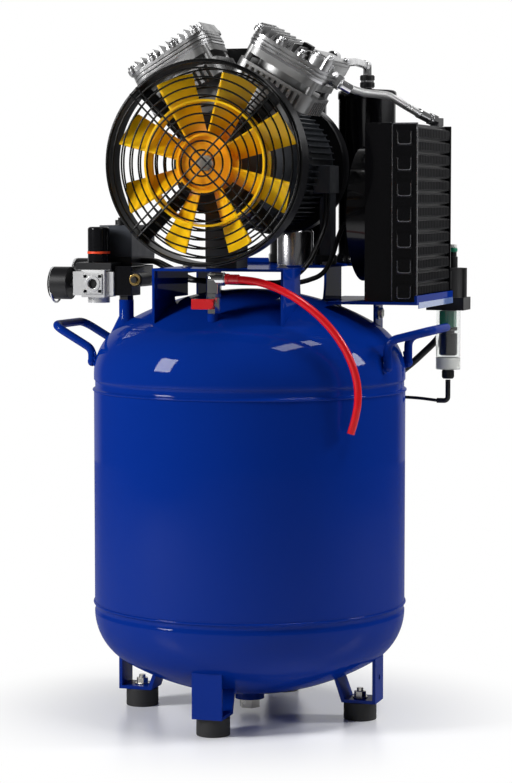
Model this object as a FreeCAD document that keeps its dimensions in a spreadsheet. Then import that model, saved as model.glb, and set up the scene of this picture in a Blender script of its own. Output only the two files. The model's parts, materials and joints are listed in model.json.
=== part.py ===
"""Vertical tank air compressor: a standing receiver that carries an oil-free V-twin pump.

Frame: millimetres, +Z up, +X right, front of the machine towards -Y.  The origin is on the
floor, on the receiver's axis.  Every driving size is a named cell of the sheet "Sizes".
"""
import FreeCAD
import Part
import math
import os
import re
import Sketcher
from FreeCAD import Placement, Rotation, Vector

SIZES = {
    # receiver
    "tank_radius": 190, "tank_wall": 3, "shell_bottom": 130, "shell_top": 401, "bead_radius": 1.6, "seam_rise": 8,
    "joggle_height": 10.5, "joggle_depth": 1.5, "top_flange": 6.5, "knuckle_radius": 70,
    "top_dish_rise": 103.5, "bottom_dish_drop": 103,
    # legs and feet
    "foot_circle": 141, "foot_radius": 20, "foot_height": 22, "foot_bore": 3.4, "foot_bore_depth": 10,
    "strap_width": 37, "strap_sheet": 4, "strap_reach": 24, "strap_inset": 18.4, "strap_rise": 73,
    "strap_lean": 14, "strap_hole": 3.5, "strap_hole_height": 30, "stud_depth": 8, "stud_radius": 4,
    "nut_radius": 7.5, "nut_height": 6.5, "washer_radius": 9, "washer_height": 1.5,
    # handles
    "rod_radius": 5, "grip_reach": 237, "grip_half": 49.5, "grip_height": 476, "handle_foot": 431,
    "handle_rise_left": 16, "handle_rise_right": 32, "weld_bite": 1.2, "grip_bend": 13,
    # bosses on the receiver
    "drain_boss_radius": 18, "drain_boss_drop": 10, "drain_bore": 10.5, "plug_hex": 13,
    "plug_head": 11, "neck_x": -143, "neck_y": -46, "neck_radius": 9, "neck_top": 508,
    "neck_bore": 5.5, "neck_flare": 5, "valve_x": -1.5, "valve_y": -134, "valve_boss_radius": 7,
    "valve_boss_top": 497, "return_turn": 60, "return_radius": 8, "return_height": 388, "return_reach": 206,
    # platform
    "plate_top": 548.5, "sheet": 3, "plate_half_width": 81, "plate_front": 125, "plate_back": 234,
    "wing_right": 134, "wing_front": 155.5, "cheek_back": 125, "cutout_radius": 56, "cutout_height": 533,
    "notch_radius": 46, "notch_y": 8, "shelf_top": 508, "shelf_right": 218, "shelf_front": 34,
    "shelf_back": 152, "shelf_relief": 26, "shelf_relief_back": 46, "lip_height": 8, "rear_lip": 5,
    "stay_x": 150, "stay_y": 50, "stay_width": 34, "bolt_radius": 4, "bolt_head": 6.5,
    "bolt_head_height": 5,
    # pump
    "crank_height": 671, "bank_angle": 30.5, "case_radius": 64, "case_bore": 56, "case_front": 95,
    "case_back": 5, "case_cover": 5, "bank_centre": 48, "bank_depth": 84, "bore_radius": 30,
    "barrel_radius": 37, "barrel_foot": 66, "barrel_block": 97, "block_half": 52, "block_corner": 14, "rib_top": 118,
    "deck": 136.5, "deck_flange": 9, "stud_inset": 9, "head_stud_radius": 4.5,
    "plate_thick": 3, "head_half": 54, "head_corner": 22, "head_base": 13.5, "fin_height": 8, "fin_thick": 5,
    "fin_pitch": 11, "chamber_length": 36, "chamber_height": 31, "rib_pitch": 8, "rib_slot": 4,
    "rib_slot_depth": 5, "seat_half": 38.5,
    # moving parts of the pump
    "shaft_radius": 10, "web_radius": 50, "web_thick": 12, "pin_offset": 12, "pin_radius": 7,
    "piston_clearance": 0.06, "piston_length": 30, "piston_middle": 109, "rod_width": 16,
    "rod_thick": 9, "rod_eye_radius": 13, "rod_eye_bore": 8, "rod_eye": 46, "rod_shift": 7,
    "bearing_radius": 21, "bearing_width": 10, "bearing_clearance": 0.05,
    # motor
    "motor_radius": 72, "motor_bore": 62, "motor_front": 2, "motor_back": 118, "stator_bore": 37,
    "stator_front": 24, "stator_back": 94, "air_gap": 1, "cowl_radius": 86, "cowl_back": 152,
    "cowl_sheet": 2, "end_plate": 8, "box_x": 68, "box_wide": 22, "box_deep": 40, "box_tall": 34,
    "box_y": 40,
    # cooling fan, shroud and guard
    "fan_front": 172, "fan_depth": 26, "hub_radius": 34, "hub_wall": 3, "ring_radius": 72,
    "ring_wall": 2.5, "fan_tip": 107, "blades": 8, "blade_thick": 2.4, "root_chord": 31,
    "root_twist": 57, "tip_chord": 46, "tip_twist": 34, "hub_disc": 6,
    "shroud_radius": 117, "shroud_wall": 2.5, "shroud_front": 178, "shroud_back": 142,
    "arm_width": 16, "arm_thick": 4, "arm_root": 50, "post_radius": 6, "guard_wire": 1.2,
    "guard_first": 15, "guard_pitch": 10.4, "guard_rings": 10, "guard_step": 5.2, "rear_ring_first": 4,
    # pump feet and pads
    "pedestal_half": 19.5, "pedestal_front": 110, "pedestal_back": 68, "pad_height": 12,
    "pad_radius": 14, "rear_foot_x": 69, "rear_foot_half": 7, "rear_foot_y": 104,
    "rear_foot_deep": 26,
    # intake silencer, capacitor
    "intake_half": 44, "intake_front": 2, "intake_back": 84, "intake_bottom": 747, "intake_top": 812,
    "can_x": 37, "can_y": 70, "can_radius": 22.5, "can_top": 592,
    # drying columns
    "column_left": 4, "column_right": 95.6, "column_y": 192, "column_radius": 36.5,
    "column_base": 38.2, "column_base_height": 12, "column_top": 768, "column_cap": 12,
    "spigot_radius": 6, "spigot_height": 3, "gland_radius": 8.5, "gland_height": 16,
    "elbow_radius": 5.5, "elbow_height": 800,
    # cooler
    "core_left": 184, "core_right": 215, "core_front": 20, "core_back": 150, "core_top": 720,
    "core_side": 3, "duct_left": 150, "duct_radius": 82, "duct_mouth": 126, "duct_wall": 2.5,
    "duct_centre": 612, "cooler_fan_radius": 72, "cooler_hub": 24, "cooler_motor_radius": 27,
    "cooler_motor_left": 113,
    # filter
    "filter_x": 207, "filter_y": 175, "filter_half": 24, "filter_half_deep": 20,
    "filter_top": 544, "filter_bottom": 491, "bowl_radius": 15.5, "bowl_wall": 1.8,
    "bowl_length": 75, "element_radius": 12, "drain_knob_radius": 7, "drain_knob_length": 13,
    # regulator group
    "regulator_x": -178.8, "regulator_z": 527.5, "regulator_half": 28, "regulator_half_deep": 20,
    "regulator_half_tall": 16.5, "port_radius": 5.9, "port_depth": 12, "cap_radius": 13.5,
    "cap_drop": 7, "bonnet_height": 9, "bonnet_half": 21, "knob_radius": 13.4, "knob_height": 43,
    "knob_gap": 0.4, "spindle_radius": 6, "gauge_radius": 20, "gauge_length": 22, "gauge_wall": 1.5,
    "gauge_dial": 5, "stem_radius": 6, "stem_length": 8, "tank_gauge_x": -204, "tank_gauge_y": 4,
    "tank_gauge_z": 537, "lens_thick": 2, "pointer_length": 14, "pointer_rest": 45, "pointer_thick": 0.8,
    # manifold, switch, safety valve
    "manifold_half": 11, "manifold_bottom": 513, "manifold_top": 549, "manifold_front": 58,
    "rail_left": -180, "rail_back": 20, "rail_front": 25.5, "rail_bottom": 523,
    "switch_left": -186, "switch_right": -144, "switch_front": 25, "switch_back": 58,
    "switch_base_height": 10, "switch_top": 598, "switch_wall": 2.2, "dial_radius": 8,
    "dial_height": 6, "safety_x": -123, "safety_z": 533, "safety_radius": 8, "safety_front": 66,
    "safety_back": 30, "pull_radius": 7, "pull_bore": 4, "pull_length": 4,
    # drain valve and its hose tail
    "ball_body_bottom": 497, "ball_body_top": 519, "ball_body_hex": 8.7, "ball_height": 508,
    "stem_reach": 12, "lever_length": 22.5, "lever_wide": 12, "lever_sheet": 2, "elbow_top": 543,
    "drain_elbow_radius": 7, "tail_height": 537, "tail_end": 11, "hose_radius": 4.5,
    "collar_radius": 6, "collar_length": 5,
}
UP, ALONG_X, ALONG_Y = "Z", "X", "Y"
CORNERS = ((-1, -1), (1, -1), (-1, 1), (1, 1))

doc = FreeCAD.newDocument("tank_compressor")
sheet = doc.addObject("Spreadsheet::Sheet", "Sizes")
for row, (alias, number) in enumerate(SIZES.items(), start=1):
    sheet.set("A%d" % row, alias)
    sheet.set("B%d" % row, str(number))
    sheet.setAlias("B%d" % row, alias)
doc.recompute()
nodes = []


def bound(text):
    """An expression in which every size name points at its cell."""
    return re.sub(r"[a-z_]+", lambda m: "Sizes." + m.group() if m.group() in SIZES else m.group(), str(text))


def read(alias):
    """The number that a cell of the sheet holds."""
    return float(sheet.get(alias))


def bind(thing, **sizes):
    for name, text in sizes.items():
        thing.setExpression(name, bound(text))
    return thing


def place(thing, x=0, y=0, z=0, axis=(0, 0, 1), angle=None):
    """Put a thing at x, y, z (expressions), turned about an axis."""
    if angle is not None:
        thing.Placement = Placement(Vector(0, 0, 0), Rotation(Vector(*axis), 1))
        thing.setExpression("Placement.Rotation.Angle", bound(angle))
    for name, text in (("x", x), ("y", y), ("z", z)):
        thing.setExpression("Placement.Base." + name, bound(text))
    return thing


def lay(thing, x, y, z, along):
    """Put a thing whose own axis is Z at x, y, z, with that axis along X, Y or Z."""
    turn = {UP: ((0, 0, 1), None), ALONG_X: ((0, 1, 0), "90"), ALONG_Y: ((1, 0, 0), "-90")}[along]
    return place(thing, x, y, z, *turn)


def rod(name, radius, length, x=0, y=0, z=0, along=UP):
    """A round bar that starts at x, y, z."""
    return lay(bind(doc.addObject("Part::Cylinder", name), Radius=radius, Height=length), x, y, z, along)


def taper(name, radius, end_radius, length, x=0, y=0, z=0, along=UP):
    cone = bind(doc.addObject("Part::Cone", name), Radius1=radius, Radius2=end_radius, Height=length)
    return lay(cone, x, y, z, along)


def block(name, x, y, z):
    """A box between two expressions on each axis."""
    sides = {"Length": x, "Width": y, "Height": z}
    box = bind(doc.addObject("Part::Box", name), **{k: "(%s) - (%s)" % (b, a) for k, (a, b) in sides.items()})
    return place(box, x[0], y[0], z[0])


def hexagon(name, radius, length, x=0, y=0, z=0, along=UP):
    prism = bind(doc.addObject("Part::Prism", name), Circumradius=radius, Height=length)
    prism.Polygon = 6
    return lay(prism, x, y, z, along)


def ring(name, radius, wire, x=0, y=0, z=0, along=UP):
    torus = bind(doc.addObject("Part::Torus", name), Radius1=radius, Radius2=wire)
    return lay(torus, x, y, z, along)


def dish(name, rise, z, lower=False, hollow=False):
    """A turned dished end on the receiver's axis: a knuckle arc that runs into a crown arc."""
    inset = read("tank_wall") if hollow else 0
    less = " - tank_wall" if hollow else ""
    radius = read("tank_radius") - inset
    knuckle = read("knuckle_radius") - inset
    side = -1 if lower else 1
    high = read(rise) - inset
    offset = radius - knuckle
    crown = (offset ** 2 + high ** 2 - knuckle ** 2) / (2 * (high - knuckle))
    meet = math.atan2(crown - high, offset)
    body = doc.addObject("PartDesign::Body", name + "_body")
    sketch = body.newObject("Sketcher::SketchObject", name + "_sketch")
    sketch.AttachmentSupport = [(next(f for f in body.Origin.OriginFeatures if f.Role == "XZ_Plane"), "")]
    sketch.MapMode = "FlatFace"
    up = Vector(0, 0, 1)
    knuckle_circle = Part.Circle(Vector(offset, 0, 0), up, knuckle)
    crown_circle = Part.Circle(Vector(0, side * (high - crown), 0), up, crown)
    knuckle_ends = sorted((0, side * meet))
    crown_ends = sorted((side * meet, side * math.pi / 2))
    first, last = (2, 1) if lower else (1, 2)
    sketch.addGeometry(Part.LineSegment(Vector(0, 0, 0), Vector(radius, 0, 0)), False)
    sketch.addGeometry(Part.ArcOfCircle(knuckle_circle, *knuckle_ends), False)
    sketch.addGeometry(Part.ArcOfCircle(crown_circle, *crown_ends), False)
    sketch.addGeometry(Part.LineSegment(Vector(0, side * high, 0), Vector(0, 0, 0)), False)
    for rule in (("Coincident", 0, 1, -1, 1), ("Horizontal", 0), ("Coincident", 0, 2, 1, first),
                 ("Tangent", 1, last, 2, first), ("Coincident", 2, last, 3, 1), ("Coincident", 3, 2, 0, 1),
                 ("Vertical", 3), ("PointOnObject", 1, 3, -1), ("PointOnObject", 2, 3, -2)):
        sketch.addConstraint(Sketcher.Constraint(*rule))
    for rule, text in ((("DistanceX", -1, 1, 0, 2, radius), "tank_radius" + less),
                       (("Radius", 1, knuckle), "knuckle_radius" + less),
                       (("DistanceY", -1, 1, 3, 1, side * high), "%d * (%s%s)" % (side, rise, less))):
        index = sketch.addConstraint(Sketcher.Constraint(*rule))
        sketch.setExpression("Constraints[%d]" % index, bound(text))
    feature = body.newObject("PartDesign::Revolution", name + "_turn")
    feature.Profile = sketch
    feature.ReferenceAxis = (sketch, ["V_Axis"])
    feature.Angle = 360
    return place(body, z=z)


def cut(name, base, *tools):
    for count, tool in enumerate(tools):
        step = doc.addObject("Part::Cut", "%s_cut%d" % (name, count))
        step.Base = base
        step.Tool = tool
        base = step
    return base


def join(name, *parts):
    union = doc.addObject("Part::MultiFuse", name + "_joined")
    union.Shapes = list(parts)
    union.Refine = True
    return union


def common(name, base, tool):
    """What two things share."""
    shared = doc.addObject("Part::Common", name + "_common")
    shared.Base = base
    shared.Tool = tool
    return shared


def rounded_block(name, half_long, half_deep, corner, low, high):
    """A block centred on Z with four round upright corners: two crossed boxes and a rod at each corner."""
    spans = (("long", half_long, half_deep + " - " + corner), ("deep", half_long + " - " + corner, half_deep))
    boxes = [block("%s_%s" % (name, word), ("-(%s)" % x, x), ("-(%s)" % y, y), (low, high)) for word, x, y in spans]
    posts = [rod("%s_corner%d" % (name, k), corner, "%s - (%s)" % (high, low), "%d * (%s - %s)" % (across, half_long, corner),
                 "%d * (%s - %s)" % (ahead, half_deep, corner), low)
             for k, (across, ahead) in enumerate(CORNERS)]
    return join(name, *boxes, *posts)


def group(name, parts):
    """Several separate solids kept as one sub-part."""
    several = doc.addObject("Part::Compound", name + "_group")
    several.Links = list(parts)
    return several


def profile(name, plane, points):
    """A body with a closed polygon sketch; each corner is tied to the sheet."""
    body = doc.addObject("PartDesign::Body", name + "_body")
    sketch = body.newObject("Sketcher::SketchObject", name + "_sketch")
    sketch.AttachmentSupport = [(next(f for f in body.Origin.OriginFeatures if f.Role == plane), "")]
    sketch.MapMode = "FlatFace"
    count = len(points)
    start = [Vector(math.cos(2 * math.pi * k / count), math.sin(2 * math.pi * k / count), 0) * 50
             for k in range(count)]
    for k in range(count):
        sketch.addGeometry(Part.LineSegment(start[k], start[(k + 1) % count]), False)
    for k in range(count):
        sketch.addConstraint(Sketcher.Constraint("Coincident", k, 2, (k + 1) % count, 1))
    for k, point in enumerate(points):
        for kind, text in zip(("DistanceX", "DistanceY"), point):
            index = sketch.addConstraint(Sketcher.Constraint(kind, -1, 1, k, 1, 1.0))
            sketch.setExpression("Constraints[%d]" % index, bound(text))
    return body, sketch


def turned(name, points, x=0, y=0, z=0, along=UP):
    """A body turned from a polygon of (radius, height) corners."""
    body, sketch = profile(name, "XZ_Plane", points)
    feature = body.newObject("PartDesign::Revolution", name + "_turn")
    feature.Profile = sketch
    feature.ReferenceAxis = (sketch, ["V_Axis"])
    feature.Angle = 360
    return lay(body, x, y, z, along)


def pressed(name, points, depth, plane="XZ_Plane"):
    """A body padded from a polygon; on XZ the pad grows towards -Y."""
    body, sketch = profile(name, plane, points)
    feature = body.newObject("PartDesign::Pad", name + "_pad")
    feature.Profile = sketch
    feature.setExpression("Length", bound(depth))
    return body


def node(name, thing):
    """Name a finished sub-part, which is written to its own file."""
    thing.Label = name
    nodes.append(thing)
    return thing


def path_wire(points, radii=None, share=0.45):
    """Straight runs joined by tangent arcs; radii default to a share of the shorter run."""
    points = [Vector(*p) for p in points]
    edges = []
    bends = []
    begin = points[0]
    for k in range(1, len(points) - 1):
        back = (points[k - 1] - points[k])
        ahead = (points[k + 1] - points[k])
        half_turn = (math.pi - back.getAngle(ahead)) / 2
        shorter = min(back.Length, ahead.Length)
        radius = radii[k - 1] if radii else share * shorter / math.tan(half_turn)
        bends.append(radius)
        reach = radius * math.tan(half_turn)
        back.normalize()
        ahead.normalize()
        first = points[k] + back * reach
        last = points[k] + ahead * reach
        towards = (back + ahead)
        towards.normalize()
        middle = points[k] + towards * (radius / math.cos(half_turn) - radius)
        if (first - begin).Length > 1e-6:
            edges.append(Part.LineSegment(begin, first).toShape())
        edges.append(Part.Arc(first, middle, last).toShape())
        begin = last
    edges.append(Part.LineSegment(begin, points[-1]).toShape())
    return Part.Wire(edges), bends


def tube(name, points, radius, radii=None):
    """A round solid along a path, as a feature whose shape is set here."""
    wire, bends = path_wire(points, radii)
    start = wire.Edges[0]
    heading = start.tangentAt(start.FirstParameter)
    section = Part.Wire(Part.Circle(start.valueAt(start.FirstParameter), heading, radius).toShape())
    feature = doc.addObject("Part::Feature", name)
    feature.Shape = wire.makePipeShell([section], True, False)
    feature.Placement = Placement()
    ratio = feature.Shape.Volume / (math.pi * radius ** 2 * wire.Length)
    print("%s: length %.1f, volume ratio %.4f, radii %s" % (name, wire.Length, ratio, [round(r) for r in bends]))
    return feature


def in_bank(name, thing, side):
    """Tilt a piece built along Z at the origin into the left (-1) or right (+1) bank."""
    thing.Label = name + "_upright"
    return place(group(name, [thing]) if thing.TypeId == "PartDesign::Body" else thing,
                 y="-bank_centre", z="crank_height", axis=(0, 1, 0), angle="%d * bank_angle" % side)


# ---------------------------------------------------------------- receiver
TOP_EDGE = "shell_top + joggle_height + top_flange"


def receiver_form():
    """The receiver's outer form, which trims what is welded to it."""
    tall = TOP_EDGE + " - shell_bottom"
    return join("receiver_form", dish("form_top", "top_dish_rise", TOP_EDGE),
                rod("form_wall", "tank_radius", tall, z="shell_bottom"),
                dish("form_bottom", "bottom_dish_drop", "shell_bottom", lower=True))


RECEIVER = receiver_form()


def make_tank():
    tall = "shell_top - shell_bottom"
    shell = join("shell_outside", rod("shell_wall", "tank_radius", tall, z="shell_bottom"),
                 ring("lower_bead", "tank_radius", "bead_radius", z="shell_bottom + seam_rise + bead_radius"),
                 ring("upper_bead", "tank_radius", "bead_radius", z="shell_top - bead_radius"))
    bore = rod("shell_bore", "tank_radius - tank_wall", tall, z="shell_bottom")
    node("tank_shell", cut("tank_shell", shell, bore))

    skirt = rod("skirt", "tank_radius - joggle_depth", "joggle_height", z="shell_top")
    flange = rod("top_flange", "tank_radius", "top_flange", z="shell_top + joggle_height")
    outside = join("top_outside", skirt, flange, dish("top_dome", "top_dish_rise", TOP_EDGE))
    hollow = dish("top_hollow", "top_dish_rise", TOP_EDGE, hollow=True)
    skirt_bore = rod("skirt_bore", "tank_radius - joggle_depth - tank_wall", "joggle_height + top_flange",
                     z="shell_top")
    node("top_dish", cut("top_dish", outside, hollow, skirt_bore))

    bowl = dish("bottom_bowl", "bottom_dish_drop", "shell_bottom", lower=True)
    bowl_hollow = dish("bottom_hollow", "bottom_dish_drop", "shell_bottom", lower=True, hollow=True)
    drain_hole = rod("drain_hole", "drain_bore", "bottom_dish_drop", z="shell_bottom - 2 * bottom_dish_drop + 10")
    node("bottom_dish", cut("bottom_dish", bowl, bowl_hollow, drain_hole))


def make_bosses():
    boss_bottom = "shell_bottom - bottom_dish_drop - drain_boss_drop"
    drain = cut("drain_boss", rod("drain_boss", "drain_boss_radius", "drain_boss_drop + 8", z=boss_bottom),
                rod("drain_boss_bore", "drain_bore", "drain_boss_drop + 8", z=boss_bottom))
    neck = join("neck", rod("neck_tube", "neck_radius", "neck_top - shell_top", "neck_x", "neck_y", "shell_top"),
                taper("neck_weld", "neck_radius + 2 * neck_flare", "neck_radius", "neck_flare * 4",
                      "neck_x", "neck_y", "neck_top - neck_flare * 8"))
    neck = cut("neck", neck, rod("neck_hole", "neck_bore", "neck_top - shell_top", "neck_x", "neck_y", "shell_top"))
    valve = rod("valve_boss", "valve_boss_radius", "valve_boss_top - shell_top", "valve_x", "valve_y", "shell_top")
    back = rod("return_boss", "return_radius", "return_reach - tank_radius / 2", "tank_radius / 2", along=ALONG_X)
    back = place(group("return_boss", [back]), z="return_height", angle="return_turn")
    node("tank_bosses", group("tank_bosses", [cut(boss.Name + "_fit", boss, RECEIVER)
                                              for boss in (drain, neck, valve, back)]))
    plug = join("plug", hexagon("plug_head", "plug_hex", "plug_head", z=boss_bottom + " - plug_head"),
                rod("plug_shank", "drain_bore", "drain_boss_drop + 4", z=boss_bottom))
    node("drain_plug", plug)


def make_legs():
    """Four bent straps under the bottom dish, each on a rubber foot with a stud and nut."""
    straps = []
    feet = []
    studs = []
    outer = "foot_circle + strap_reach"
    inner = "foot_circle - strap_inset"
    base = "foot_height"
    corners = [(outer, base), (outer, base + " + strap_rise"), (outer + " - strap_sheet", base + " + strap_rise"),
               (outer + " - strap_sheet", base + " + strap_sheet"),
               (inner + " + strap_sheet", base + " + strap_sheet"),
               (inner + " + strap_sheet - strap_lean", base + " + 3 * strap_lean"),
               (inner + " - strap_lean", base + " + 3 * strap_lean"), (inner, base)]
    for k in range(4):
        turn = 90 * k
        name = "strap%d" % k
        strap = pressed(name, corners, "strap_width")
        place(strap, "-strap_width / 2 * sin(%ddeg)" % turn, "strap_width / 2 * cos(%ddeg)" % turn, 0,
              angle=str(turn))
        spot = ("foot_circle * cos(%ddeg)" % turn, "foot_circle * sin(%ddeg)" % turn)
        stud_hole = rod(name + "_hole", "stud_radius", "3 * strap_sheet", *spot, z=base + " - strap_sheet")
        window = rod(name + "_eye", "strap_hole", "tank_radius", z=base + " + strap_hole_height", along=ALONG_X)
        window.Placement = Placement(Vector(0, 0, 0), Rotation(turn, 90, 0))
        away = "(foot_circle + strap_reach / 2)"
        place(window, away + " * cos(%ddeg)" % turn, away + " * sin(%ddeg)" % turn, base + " + strap_hole_height")
        straps.append(cut(name, strap, stud_hole, window, RECEIVER))
        foot = rod("foot%d" % k, "foot_radius", "foot_height", *spot)
        feet.append(cut("foot%d" % k, foot, rod("foot_hole%d" % k, "foot_bore", "foot_bore_depth", *spot),
                        rod("stud_hole%d" % k, "stud_radius", "stud_depth", *spot, z=base + " - stud_depth")))
        seat = base + " + strap_sheet"
        studs.append(join("stud%d" % k, rod("stud_bar%d" % k, "stud_radius", "stud_depth + strap_sheet + 12", *spot,
                                            z=base + " - stud_depth"),
                          rod("washer%d" % k, "washer_radius", "washer_height", *spot, z=seat),
                          hexagon("nut%d" % k, "nut_radius", "nut_height", *spot, z=seat + " + washer_height")))
    node("leg_straps", group("leg_straps", straps))
    node("rubber_feet", group("rubber_feet", feet))
    node("foot_fasteners", group("foot_fasteners", studs))


def shoulder_radius(height):
    """The receiver's outside radius at a height on its wall or upper knuckle."""
    knuckle = read("knuckle_radius")
    climb = max(0, height - read("shell_top") - read("joggle_height") - read("top_flange"))
    return read("tank_radius") - knuckle + math.sqrt(max(0, knuckle ** 2 - climb ** 2))


def make_handles():
    """A bent rod at each side, its two ends welded to the shoulder of the receiver."""
    half = read("grip_half")
    foot = read("handle_foot")
    leg = math.sqrt((shoulder_radius(foot) + read("rod_radius") - read("weld_bite")) ** 2 - half ** 2)
    for name, side, rise in (("handle_left", -1, "handle_rise_left"), ("handle_right", 1, "handle_rise_right")):
        profile_half = [(leg, foot), (leg, foot + read(rise)), (read("grip_reach"), read("grip_height"))]
        points = [(side * x, -half, z) for x, z in profile_half]
        points += [(side * x, half, z) for x, z in reversed(profile_half)]
        corner = read("grip_bend")
        small = corner * 0.6
        bar = tube(name + "_rod", points, read("rod_radius"), [small, corner, corner, small])
        node(name, cut(name, bar, RECEIVER))


# ---------------------------------------------------------------- platform
def make_platform():
    """One folded sheet: a raised plate on two cheeks, with a lower shelf at the right."""
    under = "plate_top - sheet"
    side = "plate_half_width"
    plate = block("plate", ("-" + side, side), ("-plate_front", "plate_back"), (under, "plate_top"))
    wing = block("wing", (side, "wing_right"), ("wing_front", "plate_back"), (under, "plate_top"))
    lip = block("rear_lip", ("-" + side, "wing_right"), ("plate_back - sheet", "plate_back"),
                ("plate_top", "plate_top + rear_lip"))
    cheeks = [block("cheek%d" % k, limits, ("-plate_front", "cheek_back"), ("shell_top", under))
              for k, limits in enumerate(((side + " - sheet", side), ("-" + side, "-" + side + " + sheet")))]
    hole = rod("cheek_hole", "cutout_radius", "4 * plate_half_width", "-2 * plate_half_width", 0,
               "cutout_height", ALONG_X)
    cheeks = [cut("cheek_open%d" % k, cheek, hole) for k, cheek in enumerate(cheeks)]
    notch = rod("notch", "notch_radius", "4 * sheet", side, "notch_y", under + " - sheet")
    plate = cut("plate_open", plate, notch)
    low = "shelf_top - sheet"
    shelf = block("shelf", (side + " - sheet", "shelf_right"), ("-shelf_front", "shelf_back"), (low, "shelf_top"))
    relief = block("relief", (side + " - 2 * sheet", side + " + shelf_relief"),
                   ("-shelf_front - sheet", "shelf_relief_back"), (low + " - sheet", "shelf_top + sheet"))
    shelf_lip = block("shelf_lip", ("shelf_right - sheet", "shelf_right"), ("-shelf_front", "shelf_back"),
                      (low, "shelf_top + lip_height"))
    stay = block("stay", ("stay_x - sheet", "stay_x"), ("stay_y - stay_width / 2", "stay_y + stay_width / 2"),
                 ("shell_top", low))
    folded = join("platform", plate, wing, lip, cut("shelf_open", shelf, relief), shelf_lip, stay, *cheeks)
    node("pump_platform", cut("platform", folded, RECEIVER))


# ---------------------------------------------------------------- pump
def make_crankcase():
    front = "-case_front"
    long = "case_front - case_back"
    body = [rod("case_round", "case_radius", long, 0, front, "crank_height", ALONG_Y)]
    tools = [rod("case_hollow", "case_bore", long + " - 2 * case_cover", 0, front + " + case_cover",
                 "crank_height", ALONG_Y),
             rod("case_shaft_hole", "bearing_radius", long + " + 2 * case_cover", 0, front + " - case_cover",
                 "crank_height", ALONG_Y)]
    for side, word in ((-1, "left"), (1, "right")):
        seat = block("seat_" + word, ("-seat_half", "seat_half"), ("-seat_half", "seat_half"), (0, "barrel_foot"))
        seat.Placement = Placement(Vector(0, 0, 0), Rotation(Vector(0, 1, 0), 1))
        seat = group("seat_" + word, [seat])
        body.append(place(seat, y="-bank_centre", z="crank_height", axis=(0, 1, 0), angle="%d * bank_angle" % side))
        window = rod("case_window_" + word, "bore_radius + 1", "barrel_foot + 1")
        tools.append(place(window, y="-bank_centre", z="crank_height", axis=(0, 1, 0),
                           angle="%d * bank_angle" % side))
    body.append(block("pedestal", ("-pedestal_half", "pedestal_half"), ("-pedestal_front", "-pedestal_back"),
                      ("plate_top + pad_height", "crank_height - case_radius + 18")))
    node("crankcase", cut("crankcase", join("crankcase", *body), *tools))
    bearings = []
    for word, start in (("front", "-case_front"), ("rear", "-case_back - bearing_width")):
        race = rod("bearing_" + word, "bearing_radius", "bearing_width", 0, start, "crank_height", ALONG_Y)
        hole = rod("bearing_hole_" + word, "shaft_radius + bearing_clearance", "bearing_width", 0, start,
                   "crank_height", ALONG_Y)
        bearings.append(cut("bearing_" + word, race, hole))
    rear = rod("rear_race", "bearing_radius", "end_plate", 0, "motor_back - end_plate", "crank_height", ALONG_Y)
    rear_hole = rod("rear_race_hole", "shaft_radius + bearing_clearance", "end_plate", 0, "motor_back - end_plate",
                    "crank_height", ALONG_Y)
    bearings.append(cut("rear_race", rear, rear_hole))
    node("shaft_bearings", group("shaft_bearings", bearings))


def make_cylinder(side, word):
    """A round barrel in a ribbed block, with a flange and four studs under the head; bored right through."""
    half_deep = "bank_depth / 2"
    barrel = rod("barrel_" + word, "barrel_radius", "deck - barrel_foot", z="barrel_foot")
    ribbed = rounded_block("block_" + word, "block_half", half_deep, "block_corner", "barrel_block", "rib_top")
    flange = rounded_block("flange_" + word, "block_half", half_deep, "head_corner", "deck - deck_flange", "deck")
    studs = [rod("stud_%s_%d" % (word, k), "head_stud_radius", "deck - rib_top", "%d * (block_half - stud_inset)" % across,
                 "%d * (%s - stud_inset)" % (ahead, half_deep), "rib_top")
             for k, (across, ahead) in enumerate(CORNERS)]
    slots = []
    heights = ("barrel_block", "rib_top - rib_slot")
    for k in range(-5, 5):
        start = "%d * rib_pitch + rib_slot / 2" % k
        limits = (start, start + " + rib_slot")
        for face, sign in enumerate((-1, 1)):
            edge = sorted((sign, 0))
            deep = ["%d * (%s - %d * rib_slot_depth)" % (sign, half_deep, 1 - abs(end)) for end in edge]
            slots.append(block("slot_%s_%d_%d" % (word, k + 5, face), limits, deep, heights))
            if -3 <= k < 3:
                wide = ["%d * (block_half - %d * rib_slot_depth)" % (sign, 1 - abs(end)) for end in edge]
                slots.append(block("end_slot_%s_%d_%d" % (word, k + 3, face), wide, limits, heights))
    bore = rod("bore_" + word, "bore_radius", "deck", z="barrel_foot - 1")
    solid = join("cylinder_" + word, barrel, ribbed, flange, *studs)
    piece = cut("cylinder_" + word, solid, join("slots_" + word, *slots), bore)
    node("cylinder_" + word, in_bank("cylinder_" + word, piece, side))


def make_head(side, word):
    """A finned head with round corners and a taller valve chamber at its outer end."""
    half_deep = "bank_depth / 2"
    deep = ("-" + half_deep, half_deep)
    seat = "deck + plate_thick"
    outline = rounded_block("outline_" + word, "head_half", half_deep, "head_corner", seat, "deck + chamber_height")
    sole = block("sole_" + word, ("-head_half", "head_half"), deep, (seat, seat + " + head_base"))
    outer = ("head_half - chamber_length", "head_half") if side > 0 else ("-head_half", "-head_half + chamber_length")
    chamber = block("chamber_" + word, outer, deep, (seat, "deck + chamber_height"))
    fins = []
    for k in range(7):
        start = "(-head_half + %d * fin_pitch)" % k
        limits = (start, start + " + fin_thick") if side > 0 else ("-%s - fin_thick" % start, "-" + start)
        fins.append(block("fin_%s_%d" % (word, k), limits, deep, (seat, seat + " + head_base + fin_height")))
    piece = common("head_" + word, join("head_" + word, sole, chamber, *fins), outline)
    node("head_" + word, in_bank("head_" + word, piece, side))


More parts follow.
